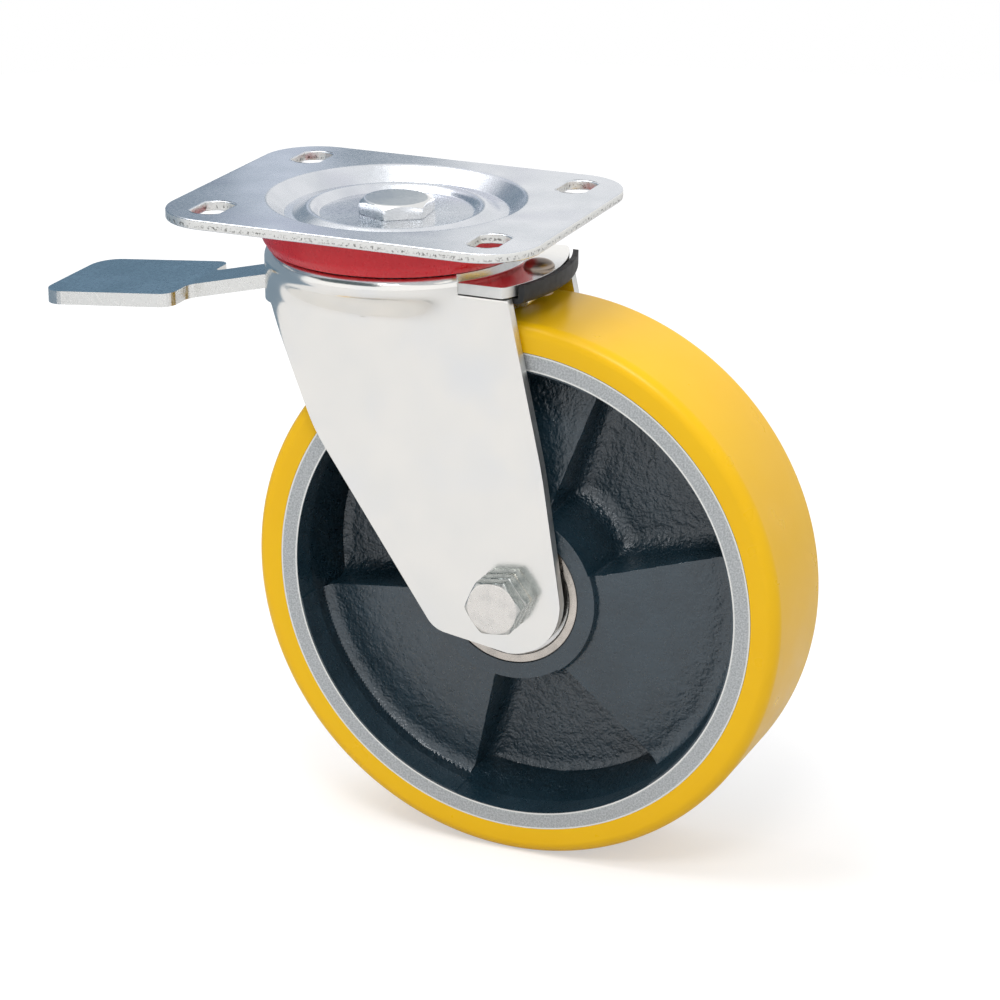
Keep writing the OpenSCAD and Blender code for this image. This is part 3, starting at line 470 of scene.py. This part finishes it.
# Flat triangles between loops of points, where keep says that there is metal
def flatFaces(loops, keep):
    edges, start = [], 0
    for loop in loops:
        edges += [(start + i, start + (i + 1) % len(loop)) for i in range(len(loop))]
        start += len(loop)
    result = delaunay_2d_cdt([Vector(p) for loop in loops for p in loop], edges, [], 0, 1e-7)
    spots = [v[:] for v in result[0]]
    return [[result[3][i][0] for i in f] for f in result[2] if keep(np.mean([spots[i] for i in f], 0))]


def topPlate():
    joint, thick, count = plate["joint"], plate["thick"], plate["turns"]
    floorStart, floorEnd = (pressing["hole"], pressing["floor"]), (pressing["floorEnd"], pressing["floor"])
    top = np.concatenate([[floorStart, floorEnd],
                          rounded([(*floorEnd, 0), *pressing["foot"]], closed=False)[1:-1],
                          arc(**pressing["ridge"]),
                          rounded([*pressing["slope"], (joint, 0, 0)], steps=9, closed=False)[1:]])
    bottom = rounded([(joint, -thick, 0), *pressing["under"]], closed=False)
    points, faces = skin(turned(np.concatenate([bottom, top]), onSwivel, count))
    parts, total = [points], len(points)
    last = total - count
    slots = [(sx * plate["slotX"], sy * plate["slotY"]) for sx in (-1, 1) for sy in (-1, 1)]
    levels = edgeLine(plate["edge"])
    loops = [[plateOutline(i) for i, z in levels]]
    loops += [[slotOutline(x, y, -i) for i, z in edgeLine(plate["slotEdge"])] for x, y in slots]
    starts = []
    for family in loops:
        size = len(family[0])
        section = [np.column_stack([line, np.full(size, level[1])]) for line, level in zip(family, levels)]
        more, extra = skin(section)
        starts.append((total, total + size * (len(section) - 1), size))
        faces += [[total + i for i in face] for face in extra]
        parts.append(more)
        total += len(more)

    def metalAt(p):
        x, y = np.abs(p) - (plate["slotX"], plate["slotY"])
        fromEnd = math.hypot(max(abs(x) - plate["slotShift"], 0), y)
        inside = abs(y) < plate["slotHalf"] and fromEnd < plate["slotEnd"]
        return math.hypot(*p) > joint and not inside

    sheet = flatFaces([points[last:][:, :2]] + [family[0] for family in loops], metalAt)
    # The same triangles at the top, where the turned part ends, and below, where it starts
    for level, circle in ((0, last), (1, 0)):
        number = list(range(circle, circle + count))
        for start in starts:
            number += list(range(start[level], start[level] + start[2]))
        faces += [[number[i] for i in f] for f in sheet]
    return np.concatenate(parts), faces


def isPlateEdge(c):
    return ((np.hypot(c[:, 0], c[:, 1]) > plate["joint"])
            & (c[:, 2] < -plate["face"]) & (c[:, 2] > plate["face"] - plate["thick"]))


piece("plate_sheet", *topPlate(), "plate", [looks["zinc_plate"], looks["plate_edge"]], ["top_plate"],
      pick=isPlateEdge)
print("top plate made")


# Bolt heads and nuts: flats is the width across flats, tall the height, way the direction of that
# height from base, turn in degrees. coned says which ends a cone cuts, and a shank is radius and length
fasteners = {
    "king_bolt": {"flats": 24, "tall": 5.2, "place": onSwivel, "base": -5.4, "way": 1, "turn": 36.4,
                  "shank": (8, 32.5)},
    "king_nut": {"flats": 24, "tall": 10, "place": onSwivel, "base": -26.9, "way": -1, "turn": 0},
    "axle_bolt": {"flats": 19, "tall": 5.3, "place": onAxle, "base": 34.6, "way": 1, "turn": 6,
                  "shank": (6, 78)},
    "axle_lock_nut": {"flats": 19, "tall": 5.2, "place": onAxle, "base": 29.4, "way": 1, "turn": 8,
                      "coned": (True, True)},
    "axle_nut": {"flats": 19, "tall": 10, "place": onAxle, "base": -31.9, "way": -1, "turn": 14},
}
# How every hexagon is made: corners cut at this share of the half width, softly by this power, and a
# cone in degrees that starts at coneShare of the half width. step, corner and the rows are how far
# apart the rings lie at the edges, so that these look soft
hexagon = {"cut": 1.152, "power": 70, "cone": 30, "coneShare": 0.965, "points": 180, "step": 0.3,
           "corner": (0.05, 0.02), "coneRows": (0.8, 0.4, 0.12), "faceRows": (0.15, 0.9), "plainEdge": 0.25,
           "shankEdge": 0.8, "shankTop": 0.01}


# Radius of a hexagon at each angle: half the width over the cosine of the angle from the middle of
# the nearest flat, joined to a circle by the root of the sum of their negative powers
def hexRadius(flats, angles, inset=0.0):
    half = flats / 2 - inset
    reach = half / np.cos((angles + math.pi / 6) % (math.pi / 3) - math.pi / 6)
    power = hexagon["power"]
    return (reach ** -power + (half * hexagon["cut"]) ** -power) ** (-1 / power)


def hexRings(flats, tall, place, base, way, turn, coned=(False, True), shank=None):
    angles = np.linspace(0, 2 * math.pi, hexagon["points"], endpoint=False)
    full = hexRadius(flats, angles)
    inner = flats / 2 * hexagon["coneShare"]
    slope = math.tan(math.radians(hexagon["cone"]))
    pole = np.array([0.0])

    def ring(r, h):
        return place(r, angles + math.radians(turn), base + way * h)

    def end(coned, level, sign):
        plainEdge = np.full(len(angles), level - sign * hexagon["plainEdge"])
        edge = level - sign * (full - inner) * slope if coned else plainEdge
        inset, below = hexagon["corner"]
        rows = [ring(full, edge - sign * hexagon["step"]),
                ring(hexRadius(flats, angles, inset), edge - sign * below)]
        if not coned:
            return rows + [ring(hexRadius(flats, angles, hexagon["step"]), level)]
        for share in hexagon["coneRows"]:
            rows.append(ring(inner + (full - inner) * share, level - sign * (full - inner) * share * slope))
        return rows + [ring(inner - inset, level) for inset in hexagon["faceRows"]]

    start = [place(pole, pole, base)]
    if shank:
        radius, length = shank
        soft = hexagon["shankEdge"]
        start = [place(pole, pole, base - way * length), ring(radius - soft, -length),
                 ring(radius, -length + soft), ring(radius, -hexagon["shankTop"])]
    start += end(coned[0], 0, -1)[::-1]
    return start + end(coned[1], tall, 1) + [place(pole, pole, base + way * tall)]


for name, sizes in fasteners.items():
    onPlate = sizes["place"] is onSwivel
    piece(name, *skin(hexRings(**sizes)), "plate" if onPlate else "fork",
          [looks["zinc_bolt" if onPlate else "axle_zinc"]], [name], 25)


# Dust seal: a closed line of (radius, height, corner radius), turned. Its lip reaches down to just
# over the crown's rim
seal = {"turns": 192, "line": [(46.2, -4.37, 0.15), (47.1, -3.62, 0.15), (48, -3.62, 0.2), (48, -12.9, 4),
                               (45.9, -16.35, 0.4), (44.1, -16.35, 0.4), (46.2, -12.7, 3)]}
piece("seal", *skin(turned(rounded(seal["line"]), onSwivel, seal["turns"]), True), "plate",
      [looks["red_seal"]], ["dust_seal"])
print("swivel head made")


# Fork: crown is the radius of its ring and leg the distance of the legs' outer faces from the middle.
# Angles are in degrees from the front. The crown's disc is given as (radius, height), and its
# shoulder is a quarter circle round a centre. The wall's heights go down to the legs. Behind the ring
# it goes on from rearY, below rearWall, in the legs' planes. The legs' front and rear outlines are
# (y, height, corner radius). Their rows are at legRows, along legSpan (from, to, number), and closer
# and closer over the height of the foot
fork = {"crown": 47.0, "leg": 29.4, "thick": 4.0, "edge": 0.35, "cornerAngle": 36.0, "flareTop": -21.1,
        "flare": 16, "power": 12.0, "notch": 11, "notchTop": -30.1, "legTop": -36.0, "rearY": 36.67,
        "platform": [(20, -15.5), (24, -15.5), (28.2, -15.5)],
        "track": {"centre": (32.3, -11.3), "radius": 5.7, "start": 228, "end": 312, "steps": 12},
        "rim": [(36.6, -15.5), (37.9, -15.5), (38.4, -15.65), (39.4, -16.45), (39.9, -16.6), (41, -16.6),
                (43, -16.6)],
        "shoulder": (43, -20.6), "shoulderRadius": 4,
        "wall": [-21.3, -22.5, -23.7, -25, -26.3, -27.6, -28.9, -30.1, -31.4, -32.7, -34, -35, -36],
        "rearWall": -23.7,
        "front": [(-36.7, -36.0, 0), (-19.2, -80.0, 60), (27.0, -148.55, 10), (54.0, -153.31, 0)],
        "rear": [(50.0, 0, 0), (68.24, -84.0, 200), (79.33, -157.77, 20), (40.0, -150.84, 0)],
        "legRows": [-37, -38, -39.5, -41], "legSpan": (-43, -140, 42), "foot": 13.0, "footRows": 30,
        "footGap": 0.004, "across": 12, "discColumns": 24, "ringPoints": 300, "ringStart": 28,
        "shoulderRows": 8, "columns": {"notch": 4, "front": 10, "side": 22, "rear": 14},
        "besideNotch": 0.25, "gap": 2, "sideEnd": 90, "rearStart": 94}
crown, leg, cornerAngle = fork["crown"], fork["leg"], fork["cornerAngle"]
# Smallest sine that a length is divided by
leastSine = 0.001
rearAngle = 180 - math.degrees(math.asin(leg / crown))


# Horizontal ring at a height: a circle at the crown which, below the flare, is cut by the two flat
# legs. In front the cut is soft, by the root of the sum of negative powers of circle and flat
def forkRing(a, z):
    t = np.clip((fork["flareTop"] - z) / fork["flare"], 0, 1)
    share = 1 - t * t * (3 - 2 * t)
    flat = leg / np.maximum(np.abs(np.sin(np.radians(a))), leastSine)
    power = fork["power"]
    low = np.where(np.abs(a) < 90, (crown ** -power + flat ** -power) ** (-1 / power), flat)
    return ringAt(a, share * crown + (1 - share) * low, z)


# Points at angles from the front, in degrees, at a radius and a height
def ringAt(a, r, z):
    turn = np.radians(a)
    return np.stack([r * np.sin(turn), -r * np.cos(turn), np.full(len(a), z)], 1)


# Front and rear edges of a leg as y at each height. Both end at the lowest point of its round foot
frontChain = rounded(fork["front"], steps=24, closed=False)
rearChain = rounded(fork["rear"], steps=30, closed=False)
rearChain = rearChain[:int(np.argmin(rearChain[:, 1])) + 1]
lowest = rearChain[-1]
frontChain = np.array([p for p in frontChain if p[0] < lowest[0] and p[1] > lowest[1]] + [lowest])


def edgeAt(chain, z):
    return np.interp(-z, -chain[:, 1], chain[:, 0])


# Outer face of the fork: crown and wall down to the legs, the disc in front of the tongue, and both
# legs. The columns are close together beside the notch, and else a gap lies between their groups. A
# leg keeps their shares of its width
def forkBody():
    notch = math.degrees(math.asin(fork["notch"] / crown))
    count, gap = fork["columns"], fork["gap"]
    half = np.concatenate([np.linspace(0, notch, count["notch"]), [notch + fork["besideNotch"]],
                           np.linspace(notch + gap, cornerAngle, count["front"]),
                           np.linspace(cornerAngle + gap, fork["sideEnd"], count["side"]),
                           np.linspace(fork["rearStart"], rearAngle, count["rear"])])
    main = np.concatenate([-half[:0:-1], half])
    rear = np.linspace(rearAngle, 360 - rearAngle, fork["discColumns"])
    disc = np.concatenate([fork["platform"], arc(**fork["track"]), fork["rim"]])
    (r, z), radius = fork["shoulder"], fork["shoulderRadius"]
    shoulder = [(r + radius * math.sin(t), z + radius * math.cos(t))
                for t in np.linspace(0, math.pi / 2, fork["shoulderRows"])[1:]]
    wall, legTop = fork["wall"], fork["legTop"]
    rows = [ringAt(main, r, z) for r, z in [*disc, *shoulder]] + [forkRing(main, z) for z in wall]
    notchRow = len(disc) + len(shoulder) + wall.index(fork["notchTop"])
    middle = (main[:-1] + main[1:]) / 2
    parts, faces, total = [], [], 0

    def add(grid, isOpen=None):
        nonlocal total
        more, extra = skin(grid, loop=False)
        for face in extra:
            row, column = divmod(face[0], len(grid[0]))
            if isOpen is None or not isOpen(row, column):
                faces.append([total + i for i in face])
        parts.append(more)
        total += len(more)

    add(rows, lambda row, column: row >= notchRow and abs(middle[column]) < notch)
    add([ringAt(rear, r, z) for r, z in disc])
    across = np.linspace(0, 1, fork["across"])[1:]
    upper = forkRing(half[half >= cornerAngle - 0.01], legTop)
    start = np.concatenate([upper[:, 1], upper[-1, 1] + across * (edgeAt(rearChain, legTop) - upper[-1, 1])])
    part = (start - start[0]) / (start[-1] - start[0])
    closing = 1 - np.sin(np.linspace(0, math.pi / 2, fork["footRows"])[1:])
    heights = np.concatenate([[legTop, *fork["legRows"]], np.linspace(*fork["legSpan"]),
                              lowest[1] + fork["foot"] * closing + fork["footGap"]])
    for side in (1, -1):
        strips = []
        for z in wall[wall.index(fork["rearWall"]):]:
            y = fork["rearY"] + np.concatenate([[0], across]) * (edgeAt(rearChain, z) - fork["rearY"])
            strips.append(np.stack([np.full(len(y), side * leg), y, np.full(len(y), z)], 1)[::side])
        add(strips)
        strips = []
        for i, z in enumerate(heights):
            ring = forkRing(np.linspace(fork["ringStart"], rearAngle, fork["ringPoints"]), z)
            front = edgeAt(frontChain, z)
            y = start if i == 0 else front + part * (edgeAt(rearChain, z) - front)
            x = np.interp(y, ring[:, 1], ring[:, 0], right=leg)
            strips.append(np.stack([side * x, y, np.full(len(y), z)], 1)[::side])
        add(strips)
    return np.concatenate(parts), faces


points, faces = forkBody()
zinc, cutEdge = looks["zinc_fork"], looks["cut_edge"]
forkSheet = piece("fork_sheet", points, [f[::-1] for f in faces], "fork", [zinc, cutEdge], ["fork"], 60,
                  closed=False)
mod = forkSheet.modifiers.new("sheet", "SOLIDIFY")
mod.thickness = fork["thick"] * millimetre
mod.offset = -1
mod.use_even_offset = True
mod.material_offset_rim = 1
bevel(forkSheet, fork["edge"], 50)


# Tongue behind the crown, one step below its rim. The step is (radius, height) out to where the flat
# begins, and from there the rows spread by shares out to the reach or the legs' outer faces
tongue = {"reach": 61, "columns": 49, "edge": 0.35, "step": [(43.0, -16.6), (44.9, -16.6), (45.5, -16.75),
                                                             (46.9, -18.9), (47.4, -19.2)],
          "shares": (0.1, 0.4, 0.8, 1.0), "endFace": 60.6, "sideFace": 29.3}


def tongueBody():
    angles = np.linspace(rearAngle, 360 - rearAngle, tongue["columns"])
    limit = np.minimum(tongue["reach"], leg / np.maximum(np.abs(np.sin(np.radians(angles))), leastSine))
    flat, level = tongue["step"][-1]
    rows = [(np.minimum(r, limit), z) for r, z in tongue["step"]]
    rows += [(flat + (limit - flat).clip(0) * share, level) for share in tongue["shares"]]
    top = [ringAt(angles, r, z) for r, z in rows]
    rings = [np.concatenate([ring, (ring - [0, 0, fork["thick"]])[::-1]]) for ring in top]
    points, faces = skin(rings)
    width = 2 * len(angles)
    # Both ends are closed by a strip between the top and the bottom row
    for row in (0, len(rings) - 1):
        for k in range(len(angles) - 1):
            a, b = row * width + k, row * width + width - 1 - k
            faces.append([a, a + 1, b - 1, b])
    return points, faces


def isTongueEdge(c):
    return (np.hypot(c[:, 0], c[:, 1]) > tongue["endFace"]) | (np.abs(c[:, 0]) > tongue["sideFace"])


tongueSheet = piece("tongue", *tongueBody(), "fork", [zinc, cutEdge], sharp=40, pick=isTongueEdge)
bevel(tongueSheet, tongue["edge"], 50)

# Rivet: its foot and shank as (radius, height), and a dome that is a quarter of an ellipse
rivet = {"y": 54.5, "line": [(0, -28.4), (5, -28.4), (5, -27), (3, -27), (3, -20), (5.3, -20), (5.5, -19.2),
                             (5.5, -18.95)], "dome": 2.8, "domeStart": 0.12, "domeRows": 12, "turns": 96}
radius, level = rivet["line"][-1]
dome = [(radius * math.cos(t), level + rivet["dome"] * math.sin(t))
        for t in np.linspace(rivet["domeStart"], math.pi / 2, rivet["domeRows"])]
line = np.concatenate([rivet["line"], dome])
line[-1, 0] = 0
points, faces = skin(turned(line, onSwivel, rivet["turns"]))
piece("brake_rivet", points + [0, rivet["y"], 0], faces, "fork", [looks["nickel_rivet"]], ["brake_rivet"], 40)
print("fork made")


# Tyre: a rectangle with rounded shoulders, turned
tyre = {"bore": 90.02, "radius": 100, "half": 24, "shoulder": 4.5, "inner": 0.3, "turns": 288}
bore, radius, half = tyre["bore"], tyre["radius"], tyre["half"]
line = rounded([(bore, -half, tyre["inner"]), (radius, -half, tyre["shoulder"]),
                (radius, half, tyre["shoulder"]), (bore, half, tyre["inner"])], steps=12)
piece("tyre", *skin(turned(line, onAxle, tyre["turns"]), True), "wheel", [looks["yellow_tyre"]], ["tyre"], 50)


# Wheel centre: each side is a height field over radius and angle. Hub, rim and raised sectors are
# tops, the pockets are floors, and hollow fillets run up their walls. Angles are in degrees. A raised
# sector falls by drop over span from its start. The fillets are (start, radius, slope of the wall).
# Outside rimFace and beyond faceX the casting is turned and bare
wheel = {"sector": 29.85, "wall": 3.55, "turn": 72.7, "hubTop": 20.5, "rimTop": 24.0, "floor": -3.0,
         "start": 33.2, "drop": 12.5, "span": 49.4, "soft": 0.7, "rimSoft": 0.5,
         "hubHigh": (32.6, 1.6, 6), "rimHigh": (82.5, 8, 11.4), "pocketWall": (0.9, 7, 14),
         "hubLow": (35.2, 7, 6), "rimLow": (81.9, 8, 11.4), "rimFace": 83.95, "faceX": 23,
         "steepest": 0.9999, "meeting": 2.5}
# Its grid. Radii come singly or as spans of (from, to, step), and at the rim's fillets they follow
# the angles of their arcs, (from, to, number) in degrees. walls are distances from a pocket's wall, and
# inSector is one at which no fillet is left. onSector and inPocket are numbers of columns
grid = {"hub": [26.05, 26.3, 28, 30],
        "spans": [(30.5, 36.2, 0.22), (36.4, 43, 0.7), (43.5, 71, 1.9), (72, 74.6, 0.5)],
        "bend": (8, 89, 17), "bendStarts": (74.5, 73.9), "bendRadius": 8, "rimTop": (82.55, 83.9, 0.1),
        "rim": [84.4, 85.2, 87.5, 89.6, 89.9, 90.0], "onSector": 70, "inPocket": 34, "inSector": -10,
        "walls": [-3.2, -2.0, -1.2, -0.7, -0.4, -0.2, -0.05, 0.1, 0.25, 0.45, 0.7, 0.95, 1.3, 1.8, 2.5, 3.4,
                  4.6, 6.2, 8.2]}


# Rise of a hollow fillet at a distance from its wall: a quarter circle, which ends just before it is
# upright, then a slope
def hollow(gap, radius, slope):
    t = np.clip(1 - gap / radius, 0, 1)
    return radius * (1 - np.sqrt(1 - t * t * wheel["steepest"])) + slope * np.maximum(-gap, 0)


# Fillet named in the dictionary, which rises towards smaller distances, or larger ones if way is -1
def fillet(name, distance, way=1):
    start, radius, slope = wheel[name]
    return hollow(way * (distance - start), radius, slope)


# Fillets that meet, as the root of the sum of their powers
def together(*rises):
    power = wheel["meeting"]
    return sum(np.maximum(r, 0) ** power for r in rises) ** (1 / power)


# The lower of two heights, with a soft change over k
def softMin(a, b, k):
    h = np.clip(0.5 + 0.5 * (b - a) / k, 0, 1)
    return b * (1 - h) + a * h - k * h * (1 - h)


def webHeight(r, gap):
    raised = wheel["hubTop"] - (r - wheel["start"]) * wheel["drop"] / wheel["span"]
    raised = raised + together(fillet("hubHigh", r), fillet("rimHigh", r, -1))
    floor = wheel["floor"] + together(fillet("pocketWall", gap), fillet("hubLow", r), fillet("rimLow", r, -1))
    return softMin(softMin(raised, floor, wheel["soft"]), wheel["rimTop"], wheel["rimSoft"])


# Columns follow the pockets' walls, which are parallel to a sector's sides and so lie at the sector's
# angle plus the arc sine of their distance over the radius
def webSide(turn):
    bend = np.sin(np.radians(np.linspace(*grid["bend"])))
    bends = np.sort(np.concatenate([start + grid["bendRadius"] * bend for start in grid["bendStarts"]]))
    spans = [np.arange(*span) for span in grid["spans"]]
    r = np.concatenate([grid["hub"], *spans, bends, np.arange(*grid["rimTop"]), grid["rim"]])[:, None]
    walls = np.array(grid["walls"])
    half, third = math.radians(wheel["sector"]), math.radians(120)
    edge = half + np.arcsin((wheel["wall"] + walls) / r)
    inner = np.linspace(-1, 1, grid["onSector"])[1:-1] * edge[:, :1]
    outer = edge[:, -1:] + np.linspace(0, 1, grid["inPocket"])[1:-1] * (third - 2 * edge[:, -1:])
    ones = np.ones(len(r))[:, None]
    between = np.minimum(r * np.sin(outer - half), r * np.sin(third - outer - half)) - wheel["wall"]
    gaps = [walls[None, ::-1] * ones, grid["inSector"] + inner * 0, walls[None] * ones,
            np.maximum(between, grid["walls"][-1])]
    angles, distances = [], []
    for k in range(3):
        mid = math.radians(turn) + third * k
        angles += [mid - edge[:, ::-1], mid + inner, mid + edge, mid + outer]
        distances += gaps
    angles, distances = np.concatenate(angles, 1), np.concatenate(distances, 1)
    return r, angles, webHeight(r, distances)


# The far side is the near side's pattern, turned by half its step
def wheelCentre():
    r, angles, x = webSide(wheel["turn"])
    far = onAxle(r, angles - math.radians(60), -x)
    return skin(list(far[::-1]) + list(onAxle(r, angles, x)), True)


def isRimFace(c):
    r = np.hypot(c[:, 1] - axle["y"], c[:, 2] - axle["z"])
    return (r > wheel["rimFace"]) & (np.abs(c[:, 0]) > wheel["faceX"])


piece("wheel_casting", *wheelCentre(), "wheel", [looks["painted_iron"], looks["rim_face"]],
      ["wheel_centre"], 50, pick=isRimFace)
print("wheel made")


# The other solids keep their own shape and get soft edges, by width
softEdges = {"brake_lever": 0.45, "brake_shoe": 0.3, "brake_pad": 0.3, "nut_washer": 0.25, "lower_race": 0.3,
             "outer_ring_near": 0.35, "outer_ring_far": 0.35, "side_washer_near": 0.2, "side_washer_far": 0.2,
             "inner_ring_near": 0.3, "inner_ring_far": 0.3}
for name, width in softEdges.items():
    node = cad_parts[name]
    weld = node.modifiers.new("weld", "WELD")
    weld.merge_threshold = 0.01 * millimetre
    bevel(node, width)
print("edges softened")


# Studio, in metres and watts. The world's strength goes from below to above as its direction rises
studio = {"key": (0.25, -0.6, 1.5), "keySize": 1.2, "keyPower": 16,
          "fill": (0.9, 0.35, 1.15), "fillSize": 0.5, "fillPower": 6, "aim": (0, 0.04, -0.1),
          "floor": -0.2332, "floorRadius": 1.25, "floorPoints": 96, "floorColour": (0.56, 0.56, 0.565),
          "floorRough": 0.9, "floorShine": 0.1, "floorLift": 0.48, "floorGloss": 0.1, "below": 0.55,
          "above": 0.8, "rises": (-0.1, 0.9)}

# World: the camera and reflections see white, and the rest gives the object a soft light that is
# stronger from above
world = bpy.data.worlds.new("world")
scene.world = world
world.use_nodes = True
m = Nodes("world", world.node_tree)


def seenInReflections(m, paths):
    return m.math("MAXIMUM", paths.outputs["Is Glossy Ray"], paths.outputs["Is Transmission Ray"])


paths = m.add("ShaderNodeLightPath")
seenByEye = m.math("MAXIMUM", paths.outputs["Is Camera Ray"], seenInReflections(m, paths))
soft = m.spread(m.axis("Z", "Generated"), studio["below"], studio["above"], *studio["rises"])
background = m.tree.nodes["Background"]
m.put(background.inputs["Color"], (1, 1, 1, 1))
m.put(background.inputs["Strength"], m.math("MAXIMUM", seenByEye, soft))


def lamp(name, source, size, energy):
    data = bpy.data.lights.new(name, "AREA")
    data.shape = "DISK"
    data.size = size
    data.energy = energy
    obj = link(bpy.data.objects.new(name, data))
    obj.location = source
    obj.rotation_euler = (Vector(studio["aim"]) - Vector(source)).to_track_quat("-Z", "Y").to_euler()


lamp("key", studio["key"], studio["keySize"], studio["keyPower"])
lamp("fill", studio["fill"], studio["fillSize"], studio["fillPower"])

# Floor. The camera and reflections see it lighter, so that it is white outside the shadow
m = Nodes("floor")
paths = m.add("ShaderNodeLightPath")
lift = m.math("MAXIMUM", m.math("MULTIPLY", paths.outputs["Is Camera Ray"], studio["floorLift"]),
              m.math("MULTIPLY", seenInReflections(m, paths), studio["floorGloss"]))
floorData = bpy.data.meshes.new("floor")
ring = arc((0, 0), studio["floorRadius"], 0, 360, studio["floorPoints"])[:-1]
floorData.from_pydata([(x, y, studio["floor"]) for x, y in ring], [], [list(range(len(ring)))])
floor = link(bpy.data.objects.new("floor", floorData))
floor.data.materials.append(m.finish(Base_Color=studio["floorColour"], Roughness=studio["floorRough"],
                                     Specular_IOR_Level=studio["floorShine"], Emission_Color=(1, 1, 1),
                                     Emission_Strength=lift))

# Cards that only reflections see, as (corners, colour)
cards = {
    "frontCard": ([(-0.6, -0.25, -0.232), (0.16, -0.25, -0.232), (0.16, -0.25, 0.2), (-0.6, -0.25, 0.2)],
                  (0.22, 0.29, 0.36)),
    "shoulderCard": ([(-0.1, -1.1, 0.42), (1.0, -0.7, 0.42), (0.9, -0.6, 0.85), (-0.2, -1.0, 0.85)],
                     (0.08, 0.11, 0.12)),
    "crownCard": ([(0.75, -0.75, 0.3), (0.95, 0.15, 0.3), (0.75, 0.1, 0.8), (0.5, -0.6, 0.8)],
                  (0.08, 0.11, 0.12)),
    "plateCard": ([(-0.35, -0.7, -0.1), (-0.35, -0.2, -0.1), (-0.35, -0.2, 0.3), (-0.35, -0.7, 0.3)],
                  (0.66, 0.72, 0.82)),
}
for name, (corners, colour) in cards.items():
    mesh = bpy.data.meshes.new(name)
    mesh.from_pydata(corners, [], [(0, 1, 2, 3)])
    card = link(bpy.data.objects.new(name, mesh))
    m = Nodes(name)
    card.data.materials.append(m.finish(Base_Color=(0, 0, 0), Roughness=1, Specular_IOR_Level=0,
                                        Emission_Color=colour, Emission_Strength=1))
    card.visible_camera = card.visible_diffuse = card.visible_shadow = card.visible_transmission = False
print("studio made")
